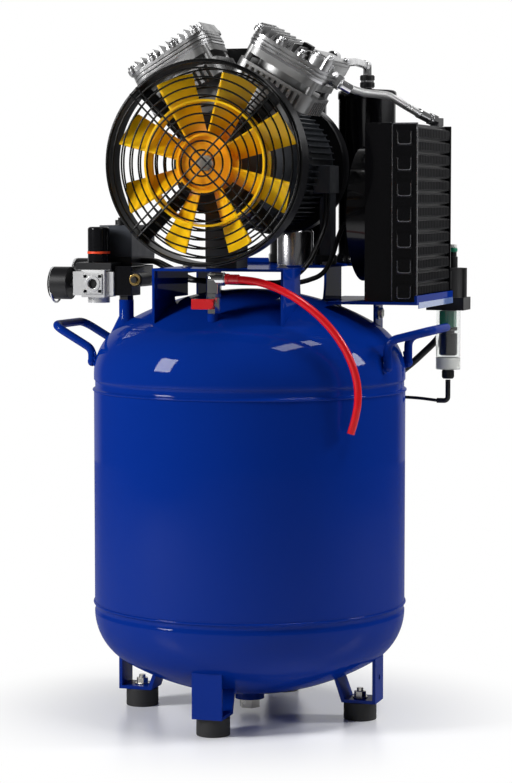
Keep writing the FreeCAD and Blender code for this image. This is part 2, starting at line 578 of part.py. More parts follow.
def make_valve_plates():
    plates = []
    for side, word in ((-1, "left"), (1, "right")):
        plate = rounded_block("valve_plate_" + word, "(head_half - 1)", "bank_depth / 2", "head_corner", "deck",
                              "deck + plate_thick")
        plate = cut("valve_plate_" + word, plate,
                    rod("valve_inlet_" + word, 5, 9, 12, 0, "deck - plate_thick"),
                    rod("valve_outlet_" + word, 5, 9, -12, 0, "deck - plate_thick"))
        plates.append(in_bank("valve_plate_" + word, plate, side))
    node("valve_plates", group("valve_plates", plates))


def make_piston(side, word):
    """A piston with its rod; the eye stays clear of the crankpin, which isn't linked to it."""
    half = "piston_length / 2"
    crown = rod("crown_" + word, "bore_radius - piston_clearance", "piston_length", z="piston_middle - " + half)
    skirt = rod("skirt_hollow_" + word, "bore_radius - 5", "piston_length", z="piston_middle - " + half + " - 8")
    shift = "%d * rod_shift" % side
    flat = (shift + " - rod_thick / 2", shift + " + rod_thick / 2")
    bar = block("con_rod_" + word, ("-rod_width / 2", "rod_width / 2"), flat, ("rod_eye", "piston_middle + 9"))
    eye = rod("eye_" + word, "rod_eye_radius", "rod_thick", 0, flat[0], "rod_eye", ALONG_Y)
    hole = rod("eye_hole_" + word, "rod_eye_bore", "3 * rod_thick", 0, shift + " - 1.5 * rod_thick", "rod_eye", ALONG_Y)
    piece = join("piston_" + word, cut("crown_" + word, crown, skirt), bar, eye)
    piece = cut("piston_" + word, piece, hole)
    node("piston_" + word, in_bank("piston_" + word, piece, side))


def make_crankshaft():
    """Shaft, two webs, crankpin and rotor core turn together."""
    axis_height = "crank_height"
    parts = [rod("shaft_front", "shaft_radius", "fan_front - fan_depth / 2 - case_front + 25", 0,
                 "-fan_front + fan_depth / 2", axis_height, ALONG_Y)]
    webs = (("front", "-case_front + case_cover + 8"), ("rear", "-case_back - case_cover - 6 - web_thick"))
    for word, start in webs:
        disc = rod("web_disc_" + word, "web_radius", "web_thick", 0, start, axis_height, ALONG_Y)
        keep = block("web_keep_" + word, ("-web_radius", "web_radius"), (start, start + " + web_thick"),
                     (axis_height + " - web_radius", axis_height + " + pin_offset + pin_radius"))
        common = doc.addObject("Part::Common", "web_" + word)
        common.Base = disc
        common.Tool = keep
        parts.append(common)
    pin_long = "case_front - case_back - 2 * case_cover - 14"
    parts.append(rod("crankpin", "pin_radius", pin_long, 0, webs[0][1], axis_height + " + pin_offset", ALONG_Y))
    parts.append(rod("shaft_rear", "shaft_radius", "motor_back - end_plate + case_back + case_cover + 8 + web_thick",
                     0, webs[1][1] + " + web_thick / 2", axis_height, ALONG_Y))
    parts.append(rod("rotor", "stator_bore - air_gap", "stator_back - stator_front - 4", 0, "stator_front + 2",
                     axis_height, ALONG_Y))
    node("crankshaft", join("crankshaft", *parts))


# ---------------------------------------------------------------- motor
def make_motor():
    long = "motor_back - motor_front"
    frame = cut("motor_frame", rod("motor_tube", "motor_radius", long, 0, "motor_front", "crank_height", ALONG_Y),
                rod("motor_hollow", "motor_bore", long + " - end_plate", 0, "motor_front", "crank_height", ALONG_Y),
                rod("motor_shaft_hole", "bearing_radius", long, 0, "motor_front + 1", "crank_height", ALONG_Y))
    flange = cut("motor_flange", rod("motor_spigot", "motor_radius", "case_back + motor_front", 0, "-case_back",
                                     "crank_height", ALONG_Y),
                 rod("motor_spigot_hole", "motor_bore", "case_back + motor_front", 0, "-case_back", "crank_height",
                     ALONG_Y))
    feet = []
    for side in (-1, 1):
        middle = "%d * rear_foot_x" % side
        feet.append(block("rear_foot%d" % (side + 1), (middle + " - rear_foot_half", middle + " + rear_foot_half"),
                          ("rear_foot_y - rear_foot_deep / 2", "rear_foot_y + rear_foot_deep / 2"),
                          ("plate_top + pad_height", "crank_height - motor_radius / 4")))
    bore = rod("foot_trim", "motor_bore + 1", long, 0, "motor_front", "crank_height", ALONG_Y)
    feet = [cut("rear_foot_fit%d" % k, foot, bore) for k, foot in enumerate(feet)]
    box = block("terminal_box", ("box_x", "box_x + box_wide"), ("box_y", "box_y + box_deep"),
                ("crank_height - box_tall", "crank_height"))
    box = cut("terminal_box", box, rod("box_trim", "motor_radius - 2", long, 0, "motor_front", "crank_height", ALONG_Y))
    node("motor_frame", join("motor_frame", frame, flange, box, *feet))
    stator_long = "stator_back - stator_front"
    node("motor_stator", cut("motor_stator", rod("stator", "motor_bore", stator_long, 0, "stator_front",
                                                 "crank_height", ALONG_Y),
                             rod("stator_hole", "stator_bore", stator_long, 0, "stator_front", "crank_height",
                                 ALONG_Y)))
    cowl_long = "cowl_back - motor_back"
    cowl = rod("cowl", "cowl_radius", cowl_long, 0, "motor_back", "crank_height", ALONG_Y)
    hollow = rod("cowl_hollow", "cowl_radius - cowl_sheet", cowl_long + " - 2 * cowl_sheet", 0,
                 "motor_back + cowl_sheet", "crank_height", ALONG_Y)
    node("motor_cowl", cut("motor_cowl", cowl, hollow))


# ---------------------------------------------------------------- cooling fan
def blade(k):
    """One twisted blade, lofted from its root to its tip."""
    sections = []
    for radius, chord, twist in ((read("hub_radius") - 1, read("root_chord"), read("root_twist")),
                                 (read("fan_tip"), read("tip_chord"), read("tip_twist"))):
        along = Vector(math.cos(math.radians(twist)), math.sin(math.radians(twist)), 0) * (chord / 2)
        across = Vector(-math.sin(math.radians(twist)), math.cos(math.radians(twist)), 0) * (read("blade_thick") / 2)
        corners = [along + across, across - along, -along - across, along - across]
        corners = [Vector(c.x, c.y, radius) for c in corners]
        sections.append(Part.makePolygon(corners + corners[:1]))
    feature = doc.addObject("Part::Feature", "blade%d" % k)
    feature.Shape = Part.makeLoft(sections, True, True)
    angle = 360.0 / int(read("blades")) * (k + 0.5)
    feature.Placement = Placement(Vector(0, 0, 0), Rotation(Vector(0, 1, 0), angle))
    feature.setExpression("Placement.Base.y", bound("-fan_front + fan_depth / 2"))
    feature.setExpression("Placement.Base.z", bound("crank_height"))
    return feature


def make_fan():
    start = "-fan_front"
    rings = []
    for word, radius, wall in (("hub", "hub_radius", "hub_wall"), ("middle", "ring_radius + ring_wall / 2", "ring_wall")):
        outer = rod(word + "_ring", radius, "fan_depth", 0, start, "crank_height", ALONG_Y)
        rings.append(cut(word + "_ring", outer, rod(word + "_ring_bore", "%s - %s" % (radius, wall), "fan_depth",
                                                    0, start, "crank_height", ALONG_Y)))
    disc = rod("hub_disc", "hub_radius - 1", "hub_disc", 0, start + " + hub_disc", "crank_height", ALONG_Y)
    boss = rod("hub_boss", "shaft_radius + 5", "fan_depth - hub_disc", 0, start + " + hub_disc", "crank_height", ALONG_Y)
    rough = join("fan_rough", disc, boss, *rings, *[blade(k) for k in range(int(read("blades")))])
    keep = rod("fan_keep", "fan_tip - 1", "fan_depth", 0, start, "crank_height", ALONG_Y)
    common = doc.addObject("Part::Common", "fan_trimmed")
    common.Base = rough
    common.Tool = keep
    shaft_hole = rod("fan_shaft_hole", "shaft_radius", "fan_depth", 0, "-fan_front + fan_depth / 2", "crank_height",
                     ALONG_Y)
    node("cooling_fan", cut("cooling_fan", common, shaft_hole))


def make_shroud():
    long = "shroud_front - shroud_back"
    band = cut("shroud_band", rod("shroud_outer", "shroud_radius", long, 0, "-shroud_front", "crank_height", ALONG_Y),
               rod("shroud_inner", "shroud_radius - shroud_wall", long, 0, "-shroud_front", "crank_height", ALONG_Y))
    arms = []
    for k in range(4):
        turn = "%ddeg" % (90 * k + 45)
        arm = block("arm%d" % k, ("arm_root", "shroud_radius - 1"), (0, "arm_thick"), ("-arm_width / 2", "arm_width / 2"))
        arm.Placement = Placement()
        carrier = group("arm%d" % k, [arm])
        arms.append(place(carrier, 0, "-shroud_back", "crank_height", axis=(0, 1, 0), angle="%d" % (90 * k + 45)))
        reach = "(arm_root + post_radius)"
        arms.append(rod("post%d" % k, "post_radius", "shroud_back - case_front", "%s * cos(%s)" % (reach, turn),
                        "-shroud_back", "crank_height - %s * sin(%s)" % (reach, turn), ALONG_Y))
    node("fan_shroud", join("fan_shroud", band, *arms))


def make_guard():
    """Front grille of ring wires on four diagonal wires, and the coarser rear grille."""
    front = "-shroud_front - guard_wire * 2 / 3"
    rear = "-shroud_back - guard_wire - 1"
    wires = []
    count = int(read("guard_rings"))
    for k in range(count):
        wires.append(ring("front_ring%d" % k, "guard_first + %d * guard_pitch" % k, "guard_wire", 0, front,
                          "crank_height", ALONG_Y))
    wires.append(ring("rim_wire", "shroud_radius - shroud_wall / 2", "guard_wire", 0, front, "crank_height", ALONG_Y))
    for turn in (45, 135):
        for word, offset in (("a", "guard_step"), ("b", "-guard_step")):
            bar = bind(doc.addObject("Part::Cylinder", "bar%d%s" % (turn, word)), Radius="guard_wire",
                       Height="2 * shroud_radius")
            place(bar, offset, 0, "-shroud_radius")
            wires.append(place(group(bar.Name, [bar]), 0, front + " - 1.5 * guard_wire", "crank_height",
                               axis=(0, 1, 0), angle=str(turn)))
    back = []
    for k in range(int(read("rear_ring_first")), count):
        back.append(ring("rear_ring%d" % k, "guard_first + %d * guard_pitch" % k, "guard_wire", 0, rear,
                         "crank_height", ALONG_Y))
    start = "(guard_first + rear_ring_first * guard_pitch - 2)"
    for turn in (0, 90, 180, 270):
        spoke = bind(doc.addObject("Part::Cylinder", "spoke%d" % turn), Radius="guard_wire",
                     Height="shroud_radius - shroud_wall / 2 - %s" % start)
        place(spoke, 0, 0, start)
        back.append(place(group(spoke.Name, [spoke]), 0, rear + " + 1.5 * guard_wire", "crank_height",
                          axis=(0, 1, 0), angle=str(turn)))
    node("fan_guard", group("fan_guard", [join("front_grille", *wires), join("rear_grille", *back)]))


# ---------------------------------------------------------------- what stands on the platform
def make_pump_feet():
    half = "pedestal_half"
    foot_bottom = "plate_top + pad_height"
    pads = [block("front_pad", ("-" + half, half), ("-pedestal_front", "-pedestal_back"), ("plate_top", foot_bottom))]
    pads += [rod("pad%d" % (side + 1), "pad_radius", "pad_height", "%d * (rear_foot_x - 3)" % side, "rear_foot_y",
                 "plate_top") for side in (-1, 1)]
    node("rubber_pads", group("rubber_pads", pads))
    intake = block("intake", ("-intake_half", "intake_half"), ("intake_front", "intake_back"),
                   ("intake_bottom", "intake_top"))
    leg = rod("intake_leg", 12, "intake_bottom - crank_height", 0, "(intake_front + intake_back) / 2", "crank_height")
    trim = rod("intake_trim", "motor_radius", "intake_back * 2", 0, "-intake_front", "crank_height", ALONG_Y)
    node("intake_silencer", cut("intake_silencer", join("intake_silencer", intake, leg), trim))
    can = turned("can", [(0, "plate_top"), ("can_radius", "plate_top"), ("can_radius", "can_top - 2"),
                         ("can_radius - 2", "can_top"), (0, "can_top")], "can_x", "can_y")
    node("run_capacitor", can)


def make_columns():
    columns = []
    for word, x in (("left", "column_left"), ("right", "column_right")):
        columns.append(turned("column_" + word, [
            (0, "plate_top"), ("column_base", "plate_top"), ("column_base", "plate_top + column_base_height"),
            ("column_radius", "plate_top + column_base_height"), ("column_radius", "column_top - column_cap"),
            ("column_base - 0.7", "column_top - column_cap"), ("column_base - 0.7", "column_top - 3"),
            ("column_base - 4", "column_top"), ("spigot_radius", "column_top"),
            ("spigot_radius", "column_top + spigot_height"), (0, "column_top + spigot_height")], x, "column_y"))
    link = block("column_link", ("column_left + 10", "column_right - 10"), ("column_y - 8", "column_y + 8"),
                 ("plate_top + 2", "plate_top + column_base_height - 2"))
    node("drying_columns", join("drying_columns", link, *columns))
    top = "column_top + spigot_height"
    right = join("elbow_right",
                 rod("gland_right", "gland_radius", "gland_height", "column_right", "column_y", top),
                 rod("riser_right", "elbow_radius", "elbow_height - (%s)" % top, "column_right", "column_y", top),
                 bind(place(doc.addObject("Part::Sphere", "turn_right"), "column_right", "column_y", "elbow_height"),
                      Radius="elbow_radius"),
                 rod("stub_right", "elbow_radius", 16, "column_right", "column_y - 16", "elbow_height", ALONG_Y))
    left = hexagon("column_plug", "gland_radius", "gland_height / 2", "column_left", "column_y", top)
    node("column_elbows", group("column_elbows", [right, left]))


def bank_point(along, out, back):
    """A point in the right bank: distance along the head, out from the crank, and Y."""
    tilt = math.radians(read("bank_angle"))
    return (along * math.cos(tilt) + out * math.sin(tilt), back,
            read("crank_height") + out * math.cos(tilt) - along * math.sin(tilt))


def make_air_lines():
    """The black line to the drying column and the braided hose to the cooler."""
    right = read("column_right")
    end_y = read("column_y") - 16
    rear_face = read("bank_depth") / 2 - read("bank_centre")
    start = bank_point(read("head_half") - read("head_corner"), read("deck") + 23, rear_face)
    line = [start, (start[0], rear_face + 16, start[2] + 1), (right + 12, 60, read("elbow_height") - 4),
            (right + 4, 120, read("elbow_height")), (right, end_y - 14, read("elbow_height")),
            (right, end_y, read("elbow_height"))]
    node("delivery_line", tube("delivery_line", line, 5))
    outlet = bank_point(read("head_half"), read("deck") + 10, -read("bank_centre"))
    step = bank_point(read("head_half") + 16, read("deck") + 9, -read("bank_centre"))
    top = read("core_top")
    hose = [outlet, step, (151, -22, 755), (168, 20, 754), (180, 62, 742), (191, 105, 731),
            (200, 136, top + 7.5), (200, 136, top)]
    node("braided_hose", tube("braided_hose", hose, 4.6, [10, 22, 60, 80, 60, 6.5]))


def make_cooler():
    """A finned core between two side plates, blown through by an electric fan in a duct."""
    tall = ("shelf_top", "core_top")
    core = block("core", ("core_left", "core_right"), ("-core_front", "core_back"), tall)
    plates = [block("core_plate0", ("core_left", "core_right"), ("-core_front - core_side", "-core_front"), tall),
              block("core_plate1", ("core_left", "core_right"), ("core_back", "core_back + core_side - 1"), tall)]
    node("cooler_core", core)
    middle = "(core_back - core_front) / 2"
    hood = block("hood", ("duct_left", "core_left"), ("-core_front", "core_back"), tall)
    hood_space = block("hood_space", ("duct_left + duct_wall", "core_left"),
                       ("-core_front + duct_wall", "core_back - duct_wall"), ("shelf_top + duct_wall", "core_top - duct_wall"))
    mouth = rod("mouth", "duct_radius", "duct_left - duct_mouth + duct_wall", "duct_mouth", middle, "duct_centre", ALONG_X)
    bore = rod("mouth_bore", "duct_radius - duct_wall", "duct_left - duct_mouth + 2 * duct_wall", "duct_mouth", middle,
               "duct_centre", ALONG_X)
    spider = [block("spider%d" % k, ("duct_mouth", "duct_mouth + 4"), y, z) for k, (y, z) in enumerate((
        ((middle + " - duct_radius + 1", middle + " + duct_radius - 1"), ("duct_centre - 5", "duct_centre + 5")),
        ((middle + " - 5", middle + " + 5"), ("duct_centre - duct_radius + 1", "duct_centre + duct_radius - 1"))))]
    duct = cut("cooler_duct", join("cooler_duct", hood, mouth), hood_space, bore)
    duct = join("cooler_duct_spider", duct, *spider)
    seat = rod("motor_seat", "cooler_motor_radius", 40, "cooler_motor_left", middle, "duct_centre", ALONG_X)
    node("cooler_duct", group("cooler_duct", [cut("cooler_duct_seat", duct, seat), *plates]))
    motor = cut("cooler_motor", rod("cooler_motor_can", "cooler_motor_radius", "duct_mouth + 6 - cooler_motor_left",
                                    "cooler_motor_left", middle, "duct_centre", ALONG_X),
                rod("cooler_motor_bore", 4.05, 30, "duct_mouth - 4", middle, "duct_centre", ALONG_X))
    node("cooler_motor", motor)
    shaft = rod("cooler_shaft", 4, 30, "duct_mouth - 3", middle, "duct_centre", ALONG_X)
    hub = rod("cooler_hub", "cooler_hub", 16, "duct_mouth + 8", middle, "duct_centre", ALONG_X)
    vanes = []
    for k in range(5):
        vane = block("vane%d" % k, ("-13", 13), ("-1.2", 1.2), ("cooler_hub - 2", "cooler_fan_radius"))
        vane = place(group("vane%d" % k, [vane]), 0, 0, 0, axis=(0, 0, 1), angle="35")
        vanes.append(place(group("vane_turn%d" % k, [vane]), "duct_mouth + 17.6", middle, "duct_centre",
                           axis=(1, 0, 0), angle=str(72 * k)))
    node("cooler_fan", join("cooler_fan", shaft, hub, *vanes))


def make_filter():
    x, y = "filter_x", "filter_y"
    head = block("filter_sole", (x + " - filter_half", x + " + filter_half"),
                 (y + " - filter_half_deep", y + " + filter_half_deep"), ("filter_bottom", "filter_bottom + 16"))
    crown = rod("filter_crown", "bowl_radius + 4", "filter_top - filter_bottom", x, y, "filter_bottom")
    side = rod("filter_side_pipe", 4.6, "filter_top - filter_bottom", x + " + filter_half - 5", y, "filter_bottom")
    bracket = block("filter_bracket", (x + " - 14", x + " + 8"), ("core_back + core_side - 1", y),
                    ("filter_top - 26", "filter_top - 4"))
    push = join("push_fit", rod("push_fit_body", 5.5, 14, x + " + 6", y, "filter_top"),
                rod("push_fit_sleeve", 4.2, 20, x + " + 6", y, "filter_top"))
    node("filter_head", join("filter_head", head, crown, side, bracket, push))
    bottom = "filter_bottom - bowl_length"
    bowl = cut("filter_bowl", rod("bowl", "bowl_radius", "bowl_length", x, y, bottom),
               rod("bowl_space", "bowl_radius - bowl_wall", "bowl_length - 3", x, y, bottom + " + 3"),
               rod("bowl_drain_hole", "drain_knob_radius - 3", 6, x, y, bottom + " - 1"))
    node("filter_bowl", bowl)
    element = turned("filter_element", [
        (0, "filter_bottom - 58"), ("element_radius", "filter_bottom - 58"), ("element_radius", "filter_bottom - 30"),
        (4, "filter_bottom - 28"), (4, "filter_bottom - 25"), ("element_radius - 1", "filter_bottom - 23"),
        ("element_radius", "filter_bottom"), (0, "filter_bottom")], x, y)
    node("filter_element", element)
    knob = turned("drain_knob", [
        (0, bottom + " - drain_knob_length"), (4, bottom + " - drain_knob_length"),
        ("drain_knob_radius", bottom + " - drain_knob_length + 2"), ("drain_knob_radius", bottom + " - 0.3"),
        ("drain_knob_radius - 3.2", bottom + " - 0.3"), ("drain_knob_radius - 3.2", bottom + " + 4"),
        (0, bottom + " + 4")], x, y)
    node("filter_drain_knob", knob)


# ---------------------------------------------------------------- regulator group
def make_manifold():
    x, y = "neck_x", "neck_y"
    body = block("manifold", (x + " - manifold_half", x + " + manifold_half"), ("-manifold_front", "-rail_front"),
                 ("manifold_bottom", "manifold_top"))
    rail = block("rail", ("rail_left", x + " + manifold_half"), ("-rail_front", "rail_back"),
                 ("rail_bottom", "manifold_top"))
    node("outlet_manifold", join("outlet_manifold", body, rail))
    nipple = join("nipple", rod("nipple_tube", "neck_bore", "manifold_bottom - neck_top + 12", x, y, "neck_top - 12"),
                  hexagon("nipple_hex", "neck_radius", "manifold_bottom - neck_top", x, y, "neck_top"))
    return nipple


def make_regulator():
    x, y, z = "regulator_x", "neck_y", "regulator_z"
    low = z + " - regulator_half_tall"
    high = z + " + regulator_half_tall"
    right = "neck_x - manifold_half"
    core = block("regulator_core", (x + " - 15", x + " + 15"), (y + " - regulator_half_deep", y + " + 20"), (low, high))
    wings = block("regulator_wings", (x + " - regulator_half", right), (y + " - 15", y + " + 15"),
                  (low + " + 2", high + " - 2"))
    cap = rod("regulator_cap", "cap_radius", "cap_drop", x, y, low + " - cap_drop")
    port = rod("regulator_port", "port_radius", "port_depth", x, y + " - regulator_half_deep", z, ALONG_Y)
    bonnet = join("bonnet", block("bonnet_flange", (x + " - bonnet_half", x + " + bonnet_half"), (y + " - 17", y + " + 17"),
                                  (high, high + " + bonnet_height")),
                  rod("spindle", "spindle_radius", "bonnet_height + 20", x, y, high))
    node("regulator_body", cut("regulator_body", join("regulator_body", core, wings, cap, bonnet), port))
    base = high + " + bonnet_height + knob_gap"
    knob = cut("regulator_knob", turned("knob", [
        (0, base), ("knob_radius", base), ("knob_radius", base + " + knob_height - 2"),
        ("knob_radius - 2", base + " + knob_height"), (0, base + " + knob_height")], x, y),
        rod("knob_bore", "spindle_radius + 0.3", "24", x, y, base))
    node("regulator_knob", knob)


def gauge_parts(word, x, y, z):
    """A round gauge facing -X: open case with dial and stem, lens, and pointer."""
    face = "(%s - gauge_length)" % x
    case = rod("case_" + word, "gauge_radius", "gauge_length", face, y, z, ALONG_X)
    space = rod("case_space_" + word, "gauge_radius - gauge_wall", "gauge_dial", face, y, z, ALONG_X)
    case = cut("case_" + word, case, space)
    post = rod("post_" + word, 1, "gauge_dial - 2", face + " + 2", y, z, ALONG_X)
    glass = rod("lens_" + word, "gauge_radius", "lens_thick", face + " - lens_thick", y, z, ALONG_X)
    hand = block("hand_" + word, (0, "pointer_thick"), ("-1.2", 1.2), ("-pointer_length", 4))
    cap = rod("hand_cap_" + word, 2.6, "pointer_thick + 0.8", along=ALONG_X)
    hand = cut("pointer_" + word, join("pointer_" + word, hand, cap), rod("hand_hole_" + word, 1.05, 4, -1, along=ALONG_X))
    place(hand, face + " + 2", y, z, axis=(1, 0, 0), angle="pointer_rest")
    return join("gauge_" + word, case, post), glass, hand


def make_gauges():
    out_x = "(regulator_x - regulator_half - stem_length)"
    out_case, out_glass, out_hand = gauge_parts("outlet", out_x, "neck_y", "regulator_z")
    stem = rod("stem_outlet", "stem_radius", "stem_length", out_x, "neck_y", "regulator_z", ALONG_X)
    tank_case, tank_glass, tank_hand = gauge_parts("tank", "tank_gauge_x", "tank_gauge_y", "tank_gauge_z")
    tank_stem = rod("stem_tank", "stem_radius", "rail_left - tank_gauge_x", "tank_gauge_x", "tank_gauge_y",
                    "tank_gauge_z", ALONG_X)
    node("gauge_cases", group("gauge_cases", [join("outlet_gauge", out_case, stem), join("tank_gauge", tank_case, tank_stem)]))
    node("gauge_lenses", group("gauge_lenses", [out_glass, tank_glass]))
    node("outlet_gauge_pointer", out_hand)
    node("tank_gauge_pointer", tank_hand)


def make_switch():
    seat = "manifold_top"
    lid = seat + " + switch_base_height"
    wide = ("switch_left", "switch_right")
    deep = ("-switch_front", "switch_back")
    node("switch_base", block("switch_base", wide, deep, (seat, lid)))
    cover = block("cover", wide, deep, (lid, "switch_top"))
    space = block("cover_space", ("switch_left + switch_wall", "switch_right - switch_wall"),
                  ("-switch_front + switch_wall", "switch_back - switch_wall"), (lid, "switch_top - switch_wall"))
    x = "(switch_left + switch_right) / 2"
    hole = rod("cover_hole", 4.2, 12, x, "-switch_front + 22", "switch_top - 8")
    node("switch_cover", cut("switch_cover", cover, space, hole))
    dial = join("dial", rod("dial_cap", "dial_radius", "dial_height", x, "-switch_front + 22", "switch_top + 0.4"),
                rod("dial_pin", 4, 10, x, "-switch_front + 22", "switch_top - 9.6"))
    pin = block("dial_wing", (x + " - 1.8", x + " + 1.8"), ("-switch_front + 22 - dial_radius", "-switch_front + 22 + dial_radius"),
                ("switch_top + 0.4 + dial_height", "switch_top + 3.4 + dial_height"))
    node("switch_knob", join("switch_knob", dial, pin))


def make_safety_valve(nipple):
    x, z = "safety_x", "safety_z"
    long = "safety_front - safety_back"
    body = rod("safety", "safety_radius", long, x, "-safety_front", z, ALONG_Y)
    arm = block("safety_arm", ("neck_x + manifold_half", x), ("-safety_back - 14", "-safety_back - 4"),
                (z + " - 5", z + " + 5"))
    pin = rod("safety_pin", "pull_bore - 0.3", "pull_length + 5", x, "-safety_front - pull_length - 5", z, ALONG_Y)
    node("manifold_fittings", group("manifold_fittings", [join("safety_valve", body, arm, pin), nipple]))
    start = "-safety_front - pull_length - 0.5"
    pull = cut("safety_pull", rod("pull", "pull_radius", "pull_length", x, start, z, ALONG_Y),
               rod("pull_hole", "pull_bore", "pull_length", x, start, z, ALONG_Y))
    node("safety_valve_ring", pull)


# ---------------------------------------------------------------- drain valve
def make_drain_valve():
    x, y = "valve_x", "valve_y"
    body = hexagon("ball_body", "ball_body_hex", "ball_body_top - ball_body_bottom", x, y, "ball_body_bottom")
    neck = rod("valve_neck", 4.2, "stem_reach - 0.4", x, y + " - stem_reach + 0.4", "ball_height", ALONG_Y)
    body = cut("drain_valve_body", join("drain_valve_body", body, neck),
               rod("stem_bore", 2.6, "stem_reach", x, y + " - stem_reach", "ball_height", ALONG_Y))
    node("drain_valve_body", body)
    start = y + " - stem_reach - lever_sheet"
    lever = join("drain_lever",
                 block("lever_blade", (x + " - lever_length", x + " + 5"), (start, start + " + lever_sheet"),
                       ("ball_height - lever_wide / 2", "ball_height + lever_wide / 2")),
                 rod("lever_boss", 5.4, "lever_sheet + 2", x, start + " - 2", "ball_height", ALONG_Y),
                 rod("lever_stem", 2.5, "stem_reach - 1", x, start + " + 1", "ball_height", ALONG_Y))
    node("drain_valve_lever", lever)
    riser = rod("drain_riser", "drain_elbow_radius", "elbow_top - ball_body_top", x, y, "ball_body_top")
    tail = rod("drain_tail", "hose_radius + 1", "tail_end - valve_x", x, y, "tail_height", ALONG_X)
    elbow = join("drain_elbow", riser, tail)
    collar = cut("hose_collar", rod("collar", "collar_radius", "collar_length", "tail_end", y, "tail_height", ALONG_X),
                 rod("collar_hole", "hose_radius", "collar_length", "tail_end", y, "tail_height", ALONG_X))
    node("drain_elbow", group("drain_elbow", [elbow, collar]))


def make_drain_hose():
    """The free drain hose: out of the elbow, over the shoulder and down, with a bare end."""
    start = (read("tail_end"), read("valve_y"), read("tail_height"))
    route = [start, (41, start[1], start[2]), (73, -137.5, 529.5), (103, -138, 515), (132.5, -134, 491.5),
             (154, -128, 463), (166, -122, 434), (170, -118.5, 409), (168.6, -119, 383), (161, -119, 359)]
    node("drain_hose", tube("drain_hose", route, read("hose_radius")))


def make_cables():
    """Leads and small tubes that are held at both ends."""
    lead = tube("motor_lead", [(79, 62, 637), (79, 62, 602), (75, 40, 576), (70, 14, 550), (50, -8, 529),
                               (8, -12, 528.5), (-40, -6, 530), (-86, 4, 531), (-112, 9, 546), (-129, 12, 554),
                               (-144, 12, 554)], 3.3)
    branch = tube("cooler_lead", [(113, 60, 600), (102, 60, 600), (97, 50, 582), (94, 38, 560), (86, 26, 538),
                                  (60, 10, 528), (20, 0, 527.5), (-28, 5, 528.5), (-76, 17, 529),
                                  (-109, 23, 545), (-129, 25, 554), (-144, 25, 554)], 3.0)
    node("power_cables", group("power_cables", [lead, branch]))


def make_filter_lines():
    """The filter's drain tube and the hose from the receiver to the filter."""
    x, y = read("filter_x"), read("filter_y")
    low = read("filter_bottom") - read("bowl_length") - read("drain_knob_length")
    elbow = tube("drain_barb", [(x, y, low - 0.4), (x, y, low - 27), (x - 14, y, low - 27)], 3.2, [5])
    thin = tube("thin_tube", [(x - 14, y, low - 27), (x - 40, y + 7, low - 25), (x - 68, y + 5, low - 24),
                              (x - 92, y - 9, low - 24)], 2.0)
    clip = block("tube_clip", (x - 100, x - 92), (y - 45, y - 4), (low - 29, low - 19))
    clip = cut("tube_clip", clip, RECEIVER)
    turn = math.radians(read("return_turn"))
    reach = read("return_reach")
    high = read("return_height")
    start = (reach * math.cos(turn), reach * math.sin(turn), high)
    back = y + read("filter_half_deep")
    feed = [start, ((reach + 15) * math.cos(turn), (reach + 15) * math.sin(turn), high), (130, 196, 401),
            (158, 192, 423), (186, 197, 450), (203, 211, 478), (x, back + 14, read("filter_bottom") + 8),
            (x, back, read("filter_bottom") + 8)]
    hose = tube("supply_hose", feed, 4.3, [8, 22, 60, 60, 40, 6])
    node("filter_lines", group("filter_lines", [elbow, thin, clip, hose]))


make_tank()
make_bosses()
make_legs()
make_handles()
make_platform()
make_crankcase()
for bank_side, bank_word in ((-1, "left"), (1, "right")):
    make_cylinder(bank_side, bank_word)
    make_head(bank_side, bank_word)
    make_piston(bank_side, bank_word)
make_valve_plates()
make_crankshaft()
make_motor()
make_fan()
make_shroud()
make_guard()
make_pump_feet()
make_columns()
make_air_lines()
make_cooler()
make_filter()
manifold_nipple = make_manifold()
make_regulator()
make_gauges()
make_switch()
make_safety_valve(manifold_nipple)
make_drain_valve()
make_drain_hose()
make_cables()
make_filter_lines()

doc.recompute()
for thing in doc.Objects:
    if {"Invalid", "Error"} & set(thing.State):
        raise RuntimeError("%s (%s): %s" % (thing.Name, thing.Label, thing.State))
os.makedirs("parts", exist_ok=True)
for thing in nodes:
    shape = thing.Shape
    if shape.isNull() or not shape.isValid() or not shape.Solids:
        raise RuntimeError("%s has no valid solid" % thing.Label)
    shape.exportStep(os.path.join("parts", thing.Label + ".step"))
    box = shape.BoundBox
    print("%-22s solids %d  x %.1f..%.1f  y %.1f..%.1f  z %.1f..%.1f" % (
        thing.Label, len(shape.Solids), box.XMin, box.XMax, box.YMin, box.YMax, box.ZMin, box.ZMax))
print(len(nodes), "nodes")
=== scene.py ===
"""Dresses the vertical tank compressor: smooth outer forms, fine parts, finishes, stage and camera."""
import json
import math

import bmesh
import bpy
from bpy.props import FloatProperty, FloatVectorProperty, IntProperty, PointerProperty
from mathutils import Matrix, Vector


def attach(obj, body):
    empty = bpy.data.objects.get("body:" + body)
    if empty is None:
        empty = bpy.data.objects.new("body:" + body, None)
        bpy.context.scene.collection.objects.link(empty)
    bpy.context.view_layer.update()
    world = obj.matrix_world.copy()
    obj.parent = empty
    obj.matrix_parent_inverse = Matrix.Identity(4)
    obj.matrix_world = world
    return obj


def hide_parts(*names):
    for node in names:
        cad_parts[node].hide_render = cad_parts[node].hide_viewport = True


bl_info = {
    "name": "Vertical Tank Compressor",
    "version": (1, 0, 0),
    "blender": (4, 5, 0),
    "location": "View3D > Sidebar > Compressor",
    "description": "Builds the visible pieces and finishes of a standing air compressor",
    "category": "Add Mesh",
}

